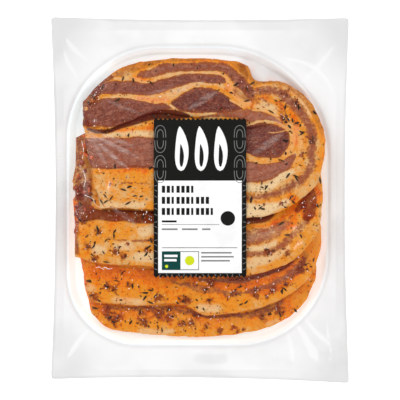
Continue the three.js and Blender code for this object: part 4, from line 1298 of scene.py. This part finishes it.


# painted highlights: pale threads along the hairlines, as spindles end to end, and drops of light on what is
# wet
def makeGlints():
    step, overlap = 1.6, 1.25
    middles, steps = [], []
    for path in hairlines:
        path, _ = curveThrough([(*place, 0) for place in path], 2 + int(straightRun(path) / step))
        middles.append((path[1:] + path[:-1]) / 2)
        steps.append(np.diff(path, axis=0))
    middles, steps = np.concatenate(middles), np.concatenate(steps)
    juice, warm = meatTissue[..., 3], meatTissue[..., 2]
    wetness = inland * (0.4 * juice + 0.25 * ease((warm - 0.6) * 2.5) + 1.2 * clumpiness)
    dotX, dotY, random = scatter(wetness, film["dots"], 91)
    x, y = np.concatenate([middles[:, 0], dotX]), np.concatenate([middles[:, 1], dotY])
    angle = np.concatenate([np.arctan2(steps[:, 1], steps[:, 0]), random.uniform(0, np.pi, film["dots"])])
    length = np.hypot(steps[:, 0], steps[:, 1]) * overlap
    length = np.concatenate([length, random.uniform(*film["dotLength"], film["dots"])])
    width = random.uniform(*film["dotWidth"], len(x))
    height, bend = np.full_like(x, film["dotHeight"]), np.zeros_like(x)
    ground = filmTop + film["thick"]
    return makeSpindles("film_glints", x, y, angle, length, width, height, bend, ground, 5, 6, 0.7)


dress(makeFilm(), filmMaterial(), "film", "top_film")
dress(makeGlints(), plainSkin("film_glint", tone(240, 212, 194), tone(255, 253, 250), 0.3), "film")
print("drew the film over")


label = {"left": -31.3, "right": 31.3, "bottom": -51.2, "top": 54.2, "teeth": 20, "tooth": 1.5,
         "columnsPerTooth": 4, "rows": 120, "thick": 0.14, "lift": 0.12}

# the label's own surface, a little smoother than the film that it lies on
labelTop = softened(spreadHighest(filmTop, 3.0), 2.5) + film["thick"] + label["lift"]


def onLabel(x, y, lift=0.0):
    return np.stack([x, y, sampled(labelTop, x, y) + label["thick"] + lift], -1)


# teeth at both ends: a triangle wave along the width
def makeLabelSheet():
    rows, columns = label["rows"] + 1, label["teeth"] * label["columnsPerTooth"] + 1
    s, t = np.meshgrid(np.linspace(0, 1, columns), np.linspace(0, 1, rows))
    tooth = label["tooth"] * (1 - np.abs((s * label["teeth"]) % 1 - 0.5) * 2)
    x = blend(label["left"], label["right"], s)
    y = blend(label["bottom"] - tooth, label["top"] + tooth, t)
    upper = onLabel(x, y).reshape(-1, 3)
    lower = upper - [0, 0, label["thick"]]
    return makePiece("label_sheet", np.concatenate([upper, lower]), sheetFaces(rows, columns))


# printed areas: grids laid on the label, joined into one piece for each colour
class Print:
    def __init__(self, lift):
        self.points, self.faces, self.count, self.lift = [], [], 0, lift

    def add(self, x, y):
        self.points.append(onLabel(x, y, self.lift).reshape(-1, 3))
        self.faces += gridFaces(*x.shape, start=self.count).tolist()
        self.count += x.size

    # a rectangle in steps of about two millimetres
    def bar(self, left, right, bottom, top):
        columns, rows = int(abs(right - left) / 2) + 2, int(abs(top - bottom) / 2) + 2
        self.add(*np.meshgrid(np.linspace(left, right, columns), np.linspace(bottom, top, rows)))

    # a line of one width along a path
    def line(self, path, width):
        path = np.asarray(path, float)
        run = np.gradient(path, axis=0)
        side = np.stack([-run[:, 1], run[:, 0]], 1)
        side *= width / 2 / np.maximum(np.linalg.norm(run, axis=1, keepdims=True), 1e-9)
        self.add(*np.stack([path - side, path + side]).transpose(2, 0, 1))

    def disc(self, x, y, radius):
        turn, share = np.meshgrid(np.linspace(0, 2 * np.pi, 41), np.linspace(1, 0, 4))
        self.add(x + radius * share * np.cos(turn), y + radius * share * np.sin(turn))

    # a flame-like drop: half width = width * sqrt(t) * (1 - t)^0.75, swaying as it rises
    def drop(self, x, bottom, width, height, sway):
        t, s = np.meshgrid(np.linspace(0, 1, 40), np.linspace(1, -1, 9), indexing="ij")
        half = width * 0.98 * np.sqrt(t) * (1 - t) ** 0.75
        self.add(x + sway * np.sin(np.pi * t * 1.3) * t + half * -s, bottom + height * t)

    def piece(self, name, material):
        piece = makePiece(name, np.concatenate(self.points), self.faces, smooth=False)
        return dress(piece, material, "label")


def inkMaterial(name, colour, rough=0.5):
    paint = Paint(name)
    mottle = paint.noise(60.0, 3.0)
    fine = paint.noise(900.0, 2.0)
    darker = tuple(c * 0.93 for c in colour[:3]) + (1.0,)
    return paint.finish(paint.principled({
        "Base Color": paint.mixed(darker, colour, mottle.between(0.3, 0.6)), "Specular IOR Level": 0.06,
        "Roughness": rough + (fine - 0.5) * 0.1, "Normal": paint.bump(mottle, 0.0006, 0.35)}))


# Of each printed piece: material, colour and height above the label, then its bars as (left, right,
# bottom, top) and its discs as (x, y, radius).
prints = {
    "print_white": ("print_white", tone(252, 252, 252), 0.03, [(-28.3, 28.2, -49.4, 13.1)], []),
    "print_white_bars": ("print_white", tone(252, 252, 252), 0.1,
                         [(-24.2, -15.2, -38.6, -37.0), (-24.2, -15.8, -41.5, -39.9)], []),
    "print_black": ("print_black", tone(30, 30, 29), 0.07,
                    [(-25.8, -15.8, -15.1, -13.8), (-25.8, 25.2, -32.5, -32.1)], [(18.8, -12.4, 4.9)]),
    "print_grey": ("print_grey", tone(128, 128, 127), 0.05, [
        (-25.8, -15.2, -20.3, -19.2), (-12.2, -1.6, -20.3, -19.2), (1.4, 7.0, -20.3, -19.2),
        (-25.8, 13.0, -16.75, -16.4), (0.8, 21.4, -36.2, -35.2), (0.8, 22.8, -38.9, -37.9),
        (0.8, 20.2, -41.6, -40.6)], []),
    "print_green": ("print_green", tone(20, 70, 66), 0.07,
                    [(-25.8, -13.2, -47.4, -34.7), (-1.1, -0.7, -47.4, -34.7)], []),
    "print_lime": ("print_lime", tone(214, 226, 40), 0.09, [], [(-7.0, -41.0, 3.2), (-22.6, -44.9, 1.1)]),
}
# title rows as (blocks, bottom), drops over them by their x, and the arches down both sides
title = {"rows": [(7, 4.9), (10, -2.6), (11, -10.1)], "left": -25.8, "step": 3.3, "height": 4.7,
         "widths": (2.2, 2.2, 1.5, 2.2), "drops": (-12.8, 0.6, 13.6)}
arches = {"x": 26.9, "top": 46.4, "step": 10.2, "rows": 4, "width": 3.7, "height": 8.2, "line": 0.42}
dashes = {"step": 4.1, "line": 0.38, "sideTop": 10.0, "sideRows": 15, "endLeft": -27.0, "endColumns": 14}


# nested arches down the sides, turned about from one to the next, and slanted dashes round the panel
def printPattern(ink):
    t = np.linspace(0, np.pi, 24)
    for side in (-1, 1):
        for row in range(arches["rows"]):
            flip = 1 if row % 2 == 0 else -1
            for inset in (0.0, 1.9):
                width, height = arches["width"] - inset * 0.85, arches["height"] - inset * 1.5
                y = arches["top"] - row * arches["step"] + flip * (height * np.sin(t) ** 0.6 - 4.1)
                ink.line(np.stack([side * arches["x"] + width * np.cos(t), y], 1), arches["line"])
        for row in range(dashes["sideRows"]):
            y = dashes["sideTop"] - row * dashes["step"]
            ink.line([(side * 28.9, y), (side * 30.9, y + (1.0 if row % 3 else -0.6))], dashes["line"])
    for column in range(dashes["endColumns"]):
        x = dashes["endLeft"] + column * dashes["step"]
        ink.line([(x, -49.9), (x + (0.9 if column % 2 else -0.5), -51.6)], dashes["line"])


def printLabel():
    dress(makeLabelSheet(), inkMaterial("label_black", tone(26, 26, 24), 0.45), "label", "label")
    inks = {}
    for name, (material, colour, lift, bars, discs) in prints.items():
        ink = Print(lift)
        for bar in bars:
            ink.bar(*bar)
        for disc in discs:
            ink.disc(*disc)
        if name == "print_white":
            for x in title["drops"]:
                ink.drop(x, 19.6, 10.8, 30.4, 1.2)
        if name == "print_black":
            for x in title["drops"]:
                ink.drop(x + 0.2, 22.4, 3.4, 15.5, 0.6)
            for blocks, bottom in title["rows"]:
                for block in range(blocks):
                    left = title["left"] + title["step"] * block
                    ink.bar(left, left + title["widths"][block % 4], bottom, bottom + title["height"])
        if name == "print_grey":
            printPattern(ink)
        if name == "print_green":
            for y in (-34.9, -47.2):
                ink.line([(-13.2, y), (-0.9, y)], 0.4)
        if material not in inks:
            inks[material] = inkMaterial(material, colour)
        ink.piece(name, inks[material])


printLabel()
print("printed the label")
